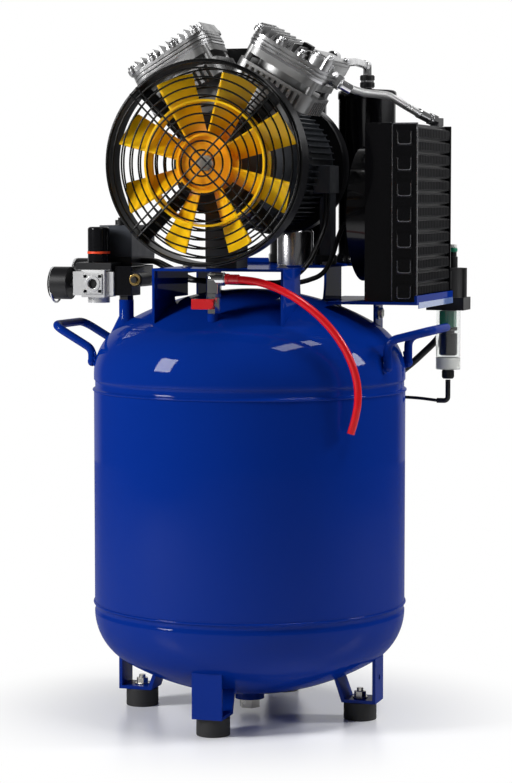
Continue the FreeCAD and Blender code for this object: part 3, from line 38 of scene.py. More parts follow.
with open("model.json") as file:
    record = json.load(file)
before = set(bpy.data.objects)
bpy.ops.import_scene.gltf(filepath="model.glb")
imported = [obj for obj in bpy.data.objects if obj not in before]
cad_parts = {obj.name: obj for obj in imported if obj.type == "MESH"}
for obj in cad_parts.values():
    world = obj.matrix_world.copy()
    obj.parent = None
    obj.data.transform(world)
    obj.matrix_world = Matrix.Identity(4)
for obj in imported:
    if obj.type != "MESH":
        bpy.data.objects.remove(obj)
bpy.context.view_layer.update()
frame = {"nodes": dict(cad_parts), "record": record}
MM = 0.001
CRANK = Vector((0, 0, 671))
BANK_ANGLE = math.radians(30.5)
BANK_MIDDLE = -48
UP, RIGHT, BACK = Vector((0, 0, 1)), Vector((1, 0, 0)), Vector((0, 1, 0))
STATIC = "frame"

# the heads, along their banks: (low, high, inset) of each flange step, the deck and the studs' places
HEAD_FLANGES = ((139.6, 142.6, 0), (142.6, 144, 1.8), (144, 147.2, 0.2), (147.2, 148.4, 1.6),
                (148.4, 153, 0.6))
HEAD_DECK, STUD_LOW, STUD_HIGH = 152, 158, 168
STUDS_ALONG, STUDS_ACROSS = (-46, -16, 14, 46), (-36, 36)
PORT_X, PORT_Z = -39, 103

COLUMNS_X, COLUMNS_Y = (4, 95.6), 192
FILTER_AXIS = (207, 175, 0)
REGULATOR_X, REGULATOR_PORT_Z = -178.8, 527.5
DRAIN_X, DRAIN_Y, DRAIN_Z = -1.5, -134, 537

# where the camera stands: degrees to the right of the front, metres away and up, and its small turns
AZIMUTH, DISTANCE, EYE_HEIGHT, LOOK_DOWN, LOOK_ASIDE = 17.8, 3.0, 0.628, 4.43, 0.147


# ------------------------------------------------------------------ settings
class ReceiverSettings(bpy.types.PropertyGroup):
    """Sizes and colour of the painted receiver."""
    radius: FloatProperty(name="Radius", description="Outside radius of the receiver", default=0.190,
                          unit="LENGTH")
    bead: FloatProperty(name="Weld bead", description="How far the seam beads stand out", default=0.0016,
                        unit="LENGTH")
    segments: IntProperty(name="Segments", description="Facets round the receiver", default=160, min=32)
    paint: FloatVectorProperty(name="Paint", description="Enamel colour", subtype="COLOR",
                               default=(0.0015, 0.022, 0.215))


class PumpSettings(bpy.types.PropertyGroup):
    """Sizes and colours of the pump, its fan and guard."""
    wire: FloatProperty(name="Guard wire", description="Radius of the guard's wires", default=0.0011,
                        unit="LENGTH")
    amber: FloatVectorProperty(name="Fan", description="Colour of the fan moulding", subtype="COLOR",
                               default=(1.0, 0.57, 0.004))
    alloy: FloatVectorProperty(name="Casting", description="Colour of the bare castings", subtype="COLOR",
                               default=(0.27, 0.27, 0.268))


class LineSettings(bpy.types.PropertyGroup):
    """Hoses and small tubes."""
    hose: FloatProperty(name="Drain hose", description="Radius of the drain hose", default=0.0045,
                        unit="LENGTH")
    red: FloatVectorProperty(name="Drain hose colour", description="Colour of the drain hose",
                             subtype="COLOR", default=(0.62, 0.003, 0.008))


class StageSettings(bpy.types.PropertyGroup):
    """Floor, lamps and camera."""
    lens: FloatProperty(name="Lens", description="Focal length", default=113.2, min=10, max=300)
    floor: FloatVectorProperty(name="Floor", description="Colour of the floor", subtype="COLOR",
                               default=(0.95, 0.955, 0.97))
    key: FloatProperty(name="Key lamp", description="Power that each lamp takes its share of", default=32,
                       subtype="POWER")
    dim: FloatProperty(name="Fill", description="Strength of the room's fill light", default=0.12)


SETTINGS = (
    ("receiver", ReceiverSettings),
    ("pump", PumpSettings),
    ("lines", LineSettings),
    ("stage", StageSettings),
)


# ------------------------------------------------------------------ shader groups
def shader_group(name, inputs, outputs):
    """A node group with float or colour sockets, ready for its inner nodes."""
    group = bpy.data.node_groups.new(name, "ShaderNodeTree")
    for label, kind, value in inputs:
        socket = group.interface.new_socket(name=label, in_out="INPUT", socket_type=kind)
        socket.default_value = value
    for label, kind in outputs:
        group.interface.new_socket(name=label, in_out="OUTPUT", socket_type=kind)
    return group, group.nodes.new("NodeGroupInput"), group.nodes.new("NodeGroupOutput")


def operation_node(nodes, operation, kind="ShaderNodeMath"):
    """A Math or Vector Math node that does one operation."""
    made = nodes.new(kind)
    made.operation = operation
    return made


def smooth_span(nodes, low, high):
    """A Map Range node that eases from 0 at low to 1 at high."""
    span = nodes.new("ShaderNodeMapRange")
    span.interpolation_type = "SMOOTHSTEP"
    span.inputs["From Min"].default_value = low
    span.inputs["From Max"].default_value = high
    return span


def mottle_group():
    """Slow change of gloss and tone, with a fine height for skin and grain."""
    group, into, out = shader_group(
        "mottle",
        [("Tone", "NodeSocketColor", (0.5, 0.5, 0.5, 1)), ("Tone Change", "NodeSocketFloat", 0.08),
         ("Patch Scale", "NodeSocketFloat", 14.0), ("Grain Scale", "NodeSocketFloat", 900.0),
         ("Gloss Low", "NodeSocketFloat", 0.3), ("Gloss High", "NodeSocketFloat", 0.4)],
        [("Color", "NodeSocketColor"), ("Roughness", "NodeSocketFloat"), ("Height", "NodeSocketFloat")])
    nodes, links = group.nodes, group.links
    place = nodes.new("ShaderNodeTexCoord")
    patch = nodes.new("ShaderNodeTexNoise")
    patch.inputs["Detail"].default_value = 3
    grain = nodes.new("ShaderNodeTexNoise")
    grain.inputs["Detail"].default_value = 2
    spread = nodes.new("ShaderNodeMapRange")
    spread.inputs["From Min"].default_value = 0.3
    spread.inputs["From Max"].default_value = 0.7
    darker = nodes.new("ShaderNodeMixRGB")
    darker.blend_type = "MULTIPLY"
    darker.inputs["Color2"].default_value = (0.45, 0.45, 0.47, 1)
    amount = operation_node(nodes, "MULTIPLY")
    for texture, scale in ((patch, "Patch Scale"), (grain, "Grain Scale")):
        links.new(place.outputs["Object"], texture.inputs["Vector"])
        links.new(into.outputs[scale], texture.inputs["Scale"])
    links.new(patch.outputs["Fac"], spread.inputs["Value"])
    links.new(into.outputs["Gloss Low"], spread.inputs["To Min"])
    links.new(into.outputs["Gloss High"], spread.inputs["To Max"])
    links.new(patch.outputs["Fac"], amount.inputs[0])
    links.new(into.outputs["Tone Change"], amount.inputs[1])
    links.new(amount.outputs[0], darker.inputs["Fac"])
    links.new(into.outputs["Tone"], darker.inputs["Color1"])
    links.new(darker.outputs["Color"], out.inputs["Color"])
    links.new(spread.outputs["Result"], out.inputs["Roughness"])
    links.new(grain.outputs["Fac"], out.inputs["Height"])
    return group


def weave_group():
    """Two crossing sets of wires, laid over the length and girth of a braided hose."""
    group, into, out = shader_group(
        "wire_braid",
        [("Along", "NodeSocketFloat", 300.0), ("Around", "NodeSocketFloat", 12.0)],
        [("Mask", "NodeSocketFloat")])
    nodes, links = group.nodes, group.links
    map_uv = nodes.new("ShaderNodeUVMap")
    map_uv.uv_map = "girth"
    split = nodes.new("ShaderNodeSeparateXYZ")
    links.new(map_uv.outputs["UV"], split.inputs["Vector"])
    counts = []
    for axis, label in (("X", "Along"), ("Y", "Around")):
        counts.append(operation_node(nodes, "MULTIPLY"))
        links.new(split.outputs[axis], counts[-1].inputs[0])
        links.new(into.outputs[label], counts[-1].inputs[1])
    top = operation_node(nodes, "MAXIMUM")
    for place, operation in enumerate(("ADD", "SUBTRACT")):
        lean = operation_node(nodes, operation)
        links.new(counts[0].outputs[0], lean.inputs[0])
        links.new(counts[1].outputs[0], lean.inputs[1])
        turn = operation_node(nodes, "MULTIPLY")
        turn.inputs[1].default_value = 2 * math.pi
        links.new(lean.outputs[0], turn.inputs[0])
        wave = operation_node(nodes, "SINE")
        links.new(turn.outputs[0], wave.inputs[0])
        links.new(wave.outputs[0], top.inputs[place])
    links.new(top.outputs[0], out.inputs["Mask"])
    return group


MOTTLE = mottle_group()
BRAID = weave_group()


def finish_of(name, tone, gloss, metallic=0.0, coat=0.0, coat_gloss=0.05, change=0.15, patch=14.0,
              grain=900.0, bump=0.05, depth=0.0002, transmission=0.0, ior=1.5, subsurface=0.0, specular=0.5):
    """A finish whose tone, gloss and skin change a little over the surface."""
    material = bpy.data.materials.new(name)
    material.use_nodes = True
    nodes, links = material.node_tree.nodes, material.node_tree.links
    shader = nodes["Principled BSDF"]
    skin = nodes.new("ShaderNodeGroup")
    skin.node_tree = MOTTLE
    for label, value in (("Tone", (*tone, 1)), ("Tone Change", change), ("Patch Scale", patch),
                         ("Grain Scale", grain), ("Gloss Low", gloss[0]), ("Gloss High", gloss[1])):
        skin.inputs[label].default_value = value
    relief = nodes.new("ShaderNodeBump")
    relief.inputs["Strength"].default_value = bump
    relief.inputs["Distance"].default_value = depth
    links.new(skin.outputs["Color"], shader.inputs["Base Color"])
    links.new(skin.outputs["Roughness"], shader.inputs["Roughness"])
    links.new(skin.outputs["Height"], relief.inputs["Height"])
    links.new(relief.outputs["Normal"], shader.inputs["Normal"])
    for label, value in (("Metallic", metallic), ("Coat Weight", coat), ("Coat Roughness", coat_gloss),
                         ("Transmission Weight", transmission), ("IOR", ior),
                         ("Specular IOR Level", specular)):
        shader.inputs[label].default_value = value
    if subsurface:
        shader.inputs["Subsurface Weight"].default_value = subsurface
        shader.inputs["Subsurface Scale"].default_value = 0.004
    return material


def braid_finish():
    """Bright wires whose crossings stand up from the hose."""
    material = finish_of("woven_steel_wire", (0.55, 0.55, 0.55), (0.25, 0.35), metallic=1.0)
    nodes, links = material.node_tree.nodes, material.node_tree.links
    weave = nodes.new("ShaderNodeGroup")
    weave.node_tree = BRAID
    weave.inputs["Along"].default_value = 260
    weave.inputs["Around"].default_value = 9
    relief = nodes["Bump"]
    relief.inputs["Strength"].default_value = 0.6
    relief.inputs["Distance"].default_value = 0.0006
    links.new(weave.outputs["Mask"], relief.inputs["Height"])
    return material


def amber_finish(tone):
    """A translucent moulding, orange at its hub and yellow towards the tips."""
    material = finish_of("amber_moulding", tone, (0.26, 0.36), coat=0.25, coat_gloss=0.1, change=0.1,
                         patch=25, grain=500, bump=0.03, subsurface=0.15, specular=0.3)
    nodes, links = material.node_tree.nodes, material.node_tree.links
    place = nodes.new("ShaderNodeTexCoord")
    centre = operation_node(nodes, "SUBTRACT", "ShaderNodeVectorMath")
    centre.inputs[1].default_value = (0, 0, CRANK.z * MM)
    flat = operation_node(nodes, "MULTIPLY", "ShaderNodeVectorMath")
    flat.inputs[1].default_value = (1, 0, 1)
    reach = operation_node(nodes, "LENGTH", "ShaderNodeVectorMath")
    span = smooth_span(nodes, 0.01, 0.075)
    hub = nodes.new("ShaderNodeMixRGB")
    hub.inputs["Color1"].default_value = (1.0, 0.36, 0.004, 1)
    links.new(place.outputs["Object"], centre.inputs[0])
    links.new(centre.outputs[0], flat.inputs[0])
    links.new(flat.outputs[0], reach.inputs[0])
    links.new(reach.outputs["Value"], span.inputs["Value"])
    links.new(span.outputs["Result"], hub.inputs["Fac"])
    links.new(nodes["Group"].outputs["Color"], hub.inputs["Color2"])
    links.new(hub.outputs["Color"], nodes["Principled BSDF"].inputs["Base Color"])
    return material


def make_finishes(scene):
    """Every finish of the machine, by the name that the pieces ask for."""
    receiver, pump, lines = scene.receiver, scene.pump, scene.lines
    return {
        "blue_enamel": finish_of("blue_enamel", receiver.paint, (0.34, 0.4), coat=0.2, coat_gloss=0.04,
                                 change=0.10, patch=5, grain=160, bump=0.02, depth=0.001, specular=0.0),
        # painted light: a paler, glossier copy of the blue enamel for where light falls on the shelf lip
        "painted_light_blue": finish_of("pale_lit_enamel", (0.17, 0.26, 0.56), (0.2, 0.3), coat=1.0, change=0.1),
        "foot_rubber": finish_of("foot_rubber", (0.012, 0.012, 0.012), (0.55, 0.75), grain=1400, bump=0.35),
        "zinc": finish_of("zinc_plate", (0.62, 0.60, 0.54), (0.22, 0.42), metallic=1.0, change=0.3,
                          patch=60),
        "bright_steel": finish_of("machined_steel", (0.62, 0.62, 0.63), (0.16, 0.3), metallic=1.0,
                                  patch=40),
        "cast_alloy": finish_of("cast_alloy", pump.alloy, (0.34, 0.52), metallic=0.85, change=0.35,
                                patch=45, grain=1600, bump=0.35, depth=0.0003),
        "fin_alloy": finish_of("machined_alloy", (0.46, 0.46, 0.46), (0.24, 0.4), metallic=1.0, change=0.5,
                               patch=70, grain=1600, bump=0.3, depth=0.0002),
        "dark_cast": finish_of("dark_casting", (0.06, 0.066, 0.078), (0.3, 0.45), metallic=0.7, change=0.3,
                               patch=50, grain=1600, bump=0.25),
        # painted highlight: a light grey metal that stands in for the glints along the cooler pads' rims and
        # the side plate's edges
        "painted_highlight_edge": finish_of("painted_highlight_edge", (0.22, 0.22, 0.23), (0.2, 0.3), metallic=0.8, change=0.3,
                               patch=80),
        "black_paint": finish_of("satin_black_paint", (0.004, 0.004, 0.005), (0.32, 0.42), change=0.2,
                                 bump=0.02, specular=0.22),
        "gloss_black": finish_of("gloss_black", (0.003, 0.003, 0.004), (0.14, 0.2), coat=0.35,
                                 coat_gloss=0.04, change=0.1, bump=0.0, specular=0.2),
        "black_plastic": finish_of("moulded_black", (0.008, 0.008, 0.009), (0.34, 0.48), grain=1800,
                                   bump=0.1, specular=0.35),
        "wire_black": finish_of("dipped_wire", (0.003, 0.003, 0.003), (0.2, 0.3), coat=0.15, change=0.1,
                                specular=0.15),
        "amber": amber_finish(pump.amber),
        "brass": finish_of("turned_brass", (0.66, 0.45, 0.16), (0.2, 0.34), metallic=1.0, change=0.25,
                           patch=50),
        "chrome": finish_of("polished_chrome", (0.78, 0.78, 0.79), (0.06, 0.14), metallic=1.0, change=0.1),
        "can": finish_of("drawn_can", (0.6, 0.6, 0.62), (0.16, 0.28), metallic=1.0, change=0.15),
        "grey_cast": finish_of("silver_paint", (0.62, 0.62, 0.62), (0.3, 0.42), metallic=0.45, change=0.2,
                               bump=0.1),
        "red_pvc": finish_of("red_hose_pvc", lines.red, (0.3, 0.38), coat=0.25, coat_gloss=0.06,
                             change=0.06, specular=0.25),
        "red_enamel": finish_of("red_enamel", (0.55, 0.008, 0.012), (0.2, 0.3), coat=1.0),
        "orange_ring": finish_of("orange_ring", (0.80, 0.06, 0.012), (0.3, 0.4)),
        "green": finish_of("green_moulding", (0.0, 0.16, 0.085), (0.3, 0.42)),
        "white": finish_of("white_moulding", (0.72, 0.72, 0.70), (0.35, 0.5), change=0.08),
        "copper": finish_of("copper_winding", (0.55, 0.22, 0.09), (0.25, 0.4), metallic=1.0),
        "braid": braid_finish(),
        "clear": finish_of("clear_bowl", (0.94, 0.96, 0.95), (0.03, 0.06), transmission=1.0, ior=1.46,
                           change=0.0, bump=0.0),
        "lens": finish_of("gauge_window", (0.97, 0.98, 0.98), (0.02, 0.05), transmission=1.0, ior=1.2,
                          change=0.0, bump=0.0),
    }


FINISH = {}


# ------------------------------------------------------------------ mesh tools
def circle(count):
    """The cosine and sine of equal steps round a full turn."""
    return [(math.cos(2 * math.pi * k / count), math.sin(2 * math.pi * k / count)) for k in range(count)]


def new_object(name, data):
    """An object in the scene's collection."""
    made = bpy.data.objects.new(name, data)
    bpy.context.scene.collection.objects.link(made)
    return made


class Form:
    """A mesh under construction, in millimetres."""

    def __init__(self):
        self.mesh = bmesh.new()

    def block(self, low, high, turn=None):
        size = Vector(high) - Vector(low)
        middle = (Vector(high) + Vector(low)) / 2
        matrix = Matrix.Translation(middle) @ Matrix.Diagonal((*size, 1))
        bmesh.ops.create_cube(self.mesh, size=1, matrix=(turn or Matrix()) @ matrix)
        return self

    def turned(self, profile, at=(0, 0, 0), axis=UP, segments=48, turn=None):
        """Spins (radius, height) corners about an axis through a point."""
        matrix = (turn or Matrix()) @ Matrix.Translation(Vector(at)) @ axis_matrix(axis)
        rings = []
        for radius, height in profile:
            corners = [(radius * c, radius * s) for c, s in circle(segments)] if radius >= 1e-6 else [(0, 0)]
            rings.append([self.mesh.verts.new(matrix @ Vector((x, y, height))) for x, y in corners])
        for low, high in zip(rings, rings[1:]):
            for k in range(segments):
                after = (k + 1) % segments
                corners = [ring[n % len(ring)]
                           for ring, n in ((low, k), (low, after), (high, after), (high, k))]
                distinct = list(dict.fromkeys(corners))
                if len(distinct) > 2:
                    self.mesh.faces.new(distinct)
        return self

    def rod(self, radius, start, end, segments=24, turn=None, edge=0.0):
        """A round bar from one point to another, with an optional chamfer at both ends."""
        start, end = Vector(start), Vector(end)
        long = (end - start).length
        profile = [(0, 0), (radius, 0), (radius, long), (0, long)]
        if edge:
            profile = [(0, 0), (radius - edge, 0), (radius, edge), (radius, long - edge),
                       (radius - edge, long), (0, long)]
        return self.turned(profile, start, end - start, segments, turn)

    def pipe(self, outer, inner, start, end, segments=48, turn=None, edge=0.3):
        start, end = Vector(start), Vector(end)
        long = (end - start).length
        profile = [(inner, edge), (inner + edge, 0), (outer - edge, 0), (outer, edge), (outer, long - edge),
                   (outer - edge, long), (inner + edge, long), (inner, long - edge), (inner, edge)]
        return self.turned(profile, start, end - start, segments, turn)

    def hexagon(self, radius, start, end, turn=None, edge=0.6):
        return self.rod(radius, start, end, 6, turn, edge)

    def ring(self, radius, wire, at, axis=UP, segments=96, sides=10, turn=None):
        matrix = (turn or Matrix()) @ Matrix.Translation(Vector(at)) @ axis_matrix(axis)
        loops = [[self.mesh.verts.new(matrix @ Vector((
            (radius + wire * u) * c, (radius + wire * u) * s, wire * v))) for u, v in circle(sides)]
            for c, s in circle(segments)]
        for loop, following in zip(loops, loops[1:] + loops[:1]):
            for n in range(sides):
                after = (n + 1) % sides
                self.mesh.faces.new((loop[n], following[n], following[after], loop[after]))
        return self

    def tube(self, points, radius, sides=16, caps=True, girth=False):
        """A round tube along points, with its length and girth kept as a UV map."""
        points = [Vector(p) for p in points]
        layer = self.mesh.loops.layers.uv.new("girth") if girth else None
        frames = []
        side = None
        for k, point in enumerate(points):
            heading = (points[min(k + 1, len(points) - 1)] - points[max(k - 1, 0)]).normalized()
            if side is None:
                side = heading.orthogonal().normalized()
            side = (side - heading * side.dot(heading)).normalized()
            frames.append((point, side.copy(), heading.cross(side)))
        loops = [[self.mesh.verts.new(p + (u * c + v * s) * radius) for c, s in circle(sides)]
                 for p, u, v in frames]
        run = 0.0
        for k in range(len(loops) - 1):
            step = (points[k + 1] - points[k]).length * MM
            for n in range(sides):
                after = (n + 1) % sides
                face = self.mesh.faces.new(
                    (loops[k][n], loops[k + 1][n], loops[k + 1][after], loops[k][after]))
                if layer:
                    corners = ((run, n), (run + step, n), (run + step, n + 1), (run, n + 1))
                    for loop, (length, turned) in zip(face.loops, corners):
                        loop[layer].uv = (length, turned / sides)
            run += step
        if caps:
            self.mesh.faces.new(loops[0])
            self.mesh.faces.new(reversed(loops[-1]))
        return self

    def plate(self, outline, low, high, axis=UP, at=(0, 0, 0), turn=None):
        """A flat piece padded from a closed outline."""
        matrix = (turn or Matrix()) @ Matrix.Translation(Vector(at)) @ axis_matrix(axis)
        lower = [self.mesh.verts.new(matrix @ Vector((x, y, low))) for x, y in outline]
        upper = [self.mesh.verts.new(matrix @ Vector((x, y, high))) for x, y in outline]
        self.mesh.faces.new(list(reversed(lower)))
        self.mesh.faces.new(upper)
        for k in range(len(outline)):
            after = (k + 1) % len(outline)
            self.mesh.faces.new((lower[k], lower[after], upper[after], upper[k]))
        return self

    def done(self, name, finish, body=STATIC, edge=0.0, smooth=35, replaces=(), slot=None, steps=2):
        """Closes the mesh, scales it to metres and hangs it on its body."""
        bmesh.ops.recalc_face_normals(self.mesh, faces=self.mesh.faces)
        bmesh.ops.scale(self.mesh, vec=(MM, MM, MM), verts=self.mesh.verts)
        mesh = bpy.data.meshes.new(name)
        self.mesh.to_mesh(mesh)
        self.mesh.free()
        return hang(name, mesh, finish, body, edge, smooth, replaces, steps)


def axis_matrix(axis):
    """A turn that takes Z to an axis."""
    return Vector((0, 0, 1)).rotation_difference(Vector(axis).normalized()).to_matrix().to_4x4()


def bank(side):
    """The frame of the left (-1) or right (+1) cylinder bank."""
    return Matrix.Translation((0, BANK_MIDDLE, CRANK.z)) @ Matrix.Rotation(side * BANK_ANGLE, 4, "Y")


def hang(name, mesh, finish, body=STATIC, edge=0.0, smooth=35, replaces=(), steps=2):
    """Gives a mesh its finish and broken edges, and hangs it on its body."""
    piece = new_object(name, mesh)
    mesh.materials.append(FINISH[finish])
    mesh.shade_smooth()
    mesh.set_sharp_from_angle(angle=math.radians(smooth))
    if edge:
        rounding = piece.modifiers.new("edge_break", "BEVEL")
        rounding.width = edge * MM
        rounding.segments = steps
        rounding.limit_method = "ANGLE"
        rounding.angle_limit = math.radians(smooth)
        rounding.harden_normals = True
    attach(piece, body)
    if replaces:
        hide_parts(*replaces)
    return piece


def body_with(node):
    """The body that a CAD node belongs to."""
    return next(name for name, members in frame["record"]["behaviour"]["bodies"].items() if node in members)


def dress(node, finish, edge=0.6, smooth=32, steps=2):
    """The CAD node's own shape with broken edges and a finish."""
    form = bmesh.new()
    form.from_mesh(frame["nodes"][node].data)
    bmesh.ops.remove_doubles(form, verts=form.verts, dist=2e-6)
    bmesh.ops.dissolve_limit(form, angle_limit=math.radians(0.6), verts=form.verts, edges=form.edges)
    mesh = bpy.data.meshes.new(node + "_skin")
    form.to_mesh(mesh)
    form.free()
    return hang(node + "_skin", mesh, finish, body_with(node), edge, smooth, (node,), steps)


def refinish(node, finish):
    """A CAD node that stays as it is, with its own finish on the object's slots."""
    for place in frame["nodes"][node].material_slots:
        place.link = "OBJECT"
        place.material = FINISH[finish]


def rounded_rectangle(half_long, half_deep, corner, steps=8):
    """The outline of a rectangle with round corners, centred on the origin."""
    outline = []
    for across, ahead, start in ((1, 1, 0), (-1, 1, 90), (-1, -1, 180), (1, -1, 270)):
        centre = (across * (half_long - corner), ahead * (half_deep - corner))
        outline += arc_points(centre, corner, start, start + 90, steps)
    return outline


def arc_points(centre, radius, start, end, count):
    """Points on an arc in the (radius, height) plane, angles in degrees."""
    return [(centre[0] + radius * math.cos(math.radians(start + (end - start) * k / count)),
             centre[1] + radius * math.sin(math.radians(start + (end - start) * k / count)))
            for k in range(count + 1)]


def dished_end(radius, rise, knuckle, base, side):
    """From the rim to the pole of a dished end."""
    offset = radius - knuckle
    crown = (offset ** 2 + rise ** 2 - knuckle ** 2) / (2 * (rise - knuckle))
    meet = math.degrees(math.atan2(crown - rise, offset))
    rim = arc_points((offset, 0), knuckle, 0, meet, 22)
    cap = arc_points((0, rise - crown), crown, meet, 90, 34)
    cap[-1] = (0, rise)
    return [(r, base + side * z) for r, z in rim + cap[1:]]


# ------------------------------------------------------------------ receiver
def build_receiver(scene):
    settings = scene.receiver
    radius = settings.radius / MM
    bead = settings.bead / MM
    lower = list(reversed(dished_end(radius, 103, 70, 130, -1)))
    upper = dished_end(radius, 103.5, 70, 418, 1)

    def seam(z):
        return [(radius + bead * math.sin(math.radians(a)), z - bead * math.cos(math.radians(a)))
                for a in range(0, 181, 30)]

    profile = lower[:-1] + [(radius, 129.6), (radius - 0.8, 130.6), (radius - 0.8, 137.4)] + seam(139.6)
    profile += [(radius, 142), (radius, 200), (radius, 270), (radius, 340), (radius, 397.2)]
    profile += seam(399.4)[:-1] + [(radius - 0.9, 401.4), (radius - 1.5, 402.4), (radius - 1.5, 409.8),
                                   (radius - 1.1, 410.8), (radius - 0.2, 411.7), (radius, 412.6)] + upper
    form = Form().turned(profile, segments=settings.segments)
    form.done("receiver", "blue_enamel", smooth=60, replaces=("tank_shell", "top_dish", "bottom_dish"),
              slot="blue_paint")
    dress("tank_bosses", "blue_enamel", 0.5)
    dress("drain_plug", "zinc", 0.5)
    dress("leg_straps", "blue_enamel", 1.4, steps=4)
    dress("rubber_feet", "foot_rubber", 1.0, steps=3)
    dress("foot_fasteners", "zinc", 0.4)
    build_handles()


def rounded_path(points, radius, steps=8):
    """Straight runs with each corner rounded to a radius."""
    points = [Vector(p) for p in points]
    path = [points[0]]
    for before, corner, after in zip(points, points[1:], points[2:]):
        back, ahead = (before - corner), (after - corner)
        half_turn = (math.pi - back.angle(ahead)) / 2
        reach = min(radius * math.tan(half_turn), back.length * 0.48, ahead.length * 0.48)
        first, last = corner + back.normalized() * reach, corner + ahead.normalized() * reach
        for k in range(steps + 1):
            share = k / steps
            path.append(first.lerp(corner, share).lerp(corner.lerp(last, share), share))
    path.append(points[-1])
    return path


def build_handles():
    leg, grip, half_width = 186.7, 237, 49.5
    for side, bend, word in ((-1, 447, "left"), (1, 463, "right")):
        half = [(leg, 431), (leg, bend), (grip, 476)]
        points = [(side * x, -half_width, z) for x, z in half]
        points += [(side * x, half_width, z) for x, z in reversed(half)]
        form = Form().tube(rounded_path(points, 16, 10), 5, 24)
        for y in (-half_width, half_width):
            form.turned([(0, -5.6), (2.6, -5), (4.6, -3.2), (5.4, -1), (5.6, 1), (5.1, 3), (5, 4)],
                        (side * leg, y, 431.5), segments=24)
            for turn in range(3):
                form.ring(3.4, 1.5, (side * (leg - 4.2), y, 429 + 6 * turn), (1, 0.2 * turn, 0.3), 16, 8)
        form.done("grab_handle_" + word, "blue_enamel", smooth=50, replaces=("handle_" + word,),
                  slot="blue_paint")


# ------------------------------------------------------------------ platform
def build_platform(scene):
    dress("pump_platform", "blue_enamel", 0.7, steps=2)
    dress("rubber_pads", "foot_rubber", 1.0)
    form = Form()
    for x, y in ((-12, -101), (12, -101), (-69, 93), (69, 93), (-60, -60), (60, -60)):
        form.hexagon(5, (x, y, 548.5), (x, y, 552.5)).rod(6.5, (x, y, 548.4), (x, y, 549.4), 20)
    form.hexagon(6.5, (150, 46, 492), (156, 46, 492)).rod(8, (150, 46, 492), (151.5, 46, 492), 24)
    form.done("platform_bolts", "zinc", smooth=30, slot="zinc")
    # the lip takes the paler copy of the blue enamel as painted light
    lip = Form().block((217.2, -25, 500.5), (218.3, 152, 508))
    lip.done("shelf_lip", "painted_light_blue", edge=0.4, slot="blue_paint")
    skirt = Form()
    for front, back, low in ((-118, -8, 512.6), (28, 112, 512.6), (-8, 28, 540)):
        skirt.block((-78.6, front, low), (-76.6, back, 548.4))
    skirt.done("platform_side_fold", "blue_enamel", edge=0.3, slot="blue_paint")


# ------------------------------------------------------------------ pump
def stud_top(side, x):
    """The studs through the right head's chamber stand higher than the others."""
    return STUD_HIGH if side > 0 and x > 20 else STUD_LOW


def head_form(side):
    """A finned head in its bank: stepped flanges, tapered fins, a chamber and the studs' bosses."""
    turn = bank(side)
    head = Form()
    for low, high, inset in HEAD_FLANGES:
        head.plate(rounded_rectangle(54 - inset, 42 - inset, 22 - inset), low, high, turn=turn)
    first, last, count, peak = (-50, 16, 9, 163) if side > 0 else (-51, 48, 12, 164.6)
    for k in range(count):
        x = side * (first + (last - first) * k / (count - 1))
        reach = 40.6 - 10 * (k == 0) - 8 * (k == count - 1 and side < 0)
        fin = [(-reach, HEAD_DECK), (-reach + 0.6, 159), (-reach + 3, peak)]
        fin += [(-y, z) for y, z in reversed(fin)]
        lower, upper = ([head.mesh.verts.new(turn @ Vector((x + half + lean * (z - HEAD_DECK), y, z)))
                         for y, z in fin] for half, lean in ((-2.6, 0.2), (2.6, -0.12)))
        head.mesh.faces.new(lower)
        head.mesh.faces.new(list(reversed(upper)))
        for n in range(len(fin)):
            after = (n + 1) % len(fin)
            head.mesh.faces.new((lower[n], upper[n], upper[after], lower[after]))
    middle = Matrix.Translation((side * 36.5, 0, 0))
    chamber = ((152, 163.4, 0.4), (163.4, 166.4, 2.4), (166.4, 168.2, 5.2)) if side > 0 else ((152, 158, 0.4),)
    for low, high, inset in chamber:
        head.plate(rounded_rectangle(17.8 - inset, 41.6 - inset, 15 - inset), low, high, turn=turn @ middle)
    for y in STUDS_ACROSS:
        for x in STUDS_ALONG:
            head.rod(6.4, (x, y, HEAD_DECK), (x, y, stud_top(side, x)), 24, turn, 0.6)
    return head


def build_pump(scene):
    dress("crankcase", "dark_cast", 1.0)
    for side, word in ((-1, "left"), (1, "right")):
        dress("cylinder_" + word, "cast_alloy", 0.7)
        head_form(side).done("finned_head_" + word, "fin_alloy", edge=0.5, smooth=28,
                             replaces=("head_" + word,), slot="cast_alloy")
        turn = bank(side)
        bolts, ports = Form(), Form()
        for x in STUDS_ALONG:
            top = stud_top(side, x)
            for y in STUDS_ACROSS:
                bolts.rod(4.4, (x, y, top - 1), (x, y, top + 3.6), 20, turn, 0.4)
        if side < 0:
            for face, hole in ((-42.5, -43), (42.5, 43)):
                bolts.rod(9.6, (PORT_X, face * 0.96, PORT_Z), (PORT_X, face * 1.03, PORT_Z), 32, turn, 0.6)
                ports.rod(7.6, (PORT_X, hole, PORT_Z), (PORT_X, hole * 1.04, PORT_Z), 32, turn, 0.4)
        ports.block((side * 6 - 6, -7, HEAD_DECK), (side * 6 + 6, 7, 167), turn)
        bolts.done("head_bolts_" + word, "bright_steel", edge=0.2, smooth=30, slot="steel")
        ports.done("head_ports_" + word, "black_paint", edge=0.8, slot="black_metal")
    for node in ("shaft_bearings", "valve_plates", "crankshaft", "piston_left", "piston_right"):
        refinish(node, "bright_steel")
    refinish("motor_stator", "copper")


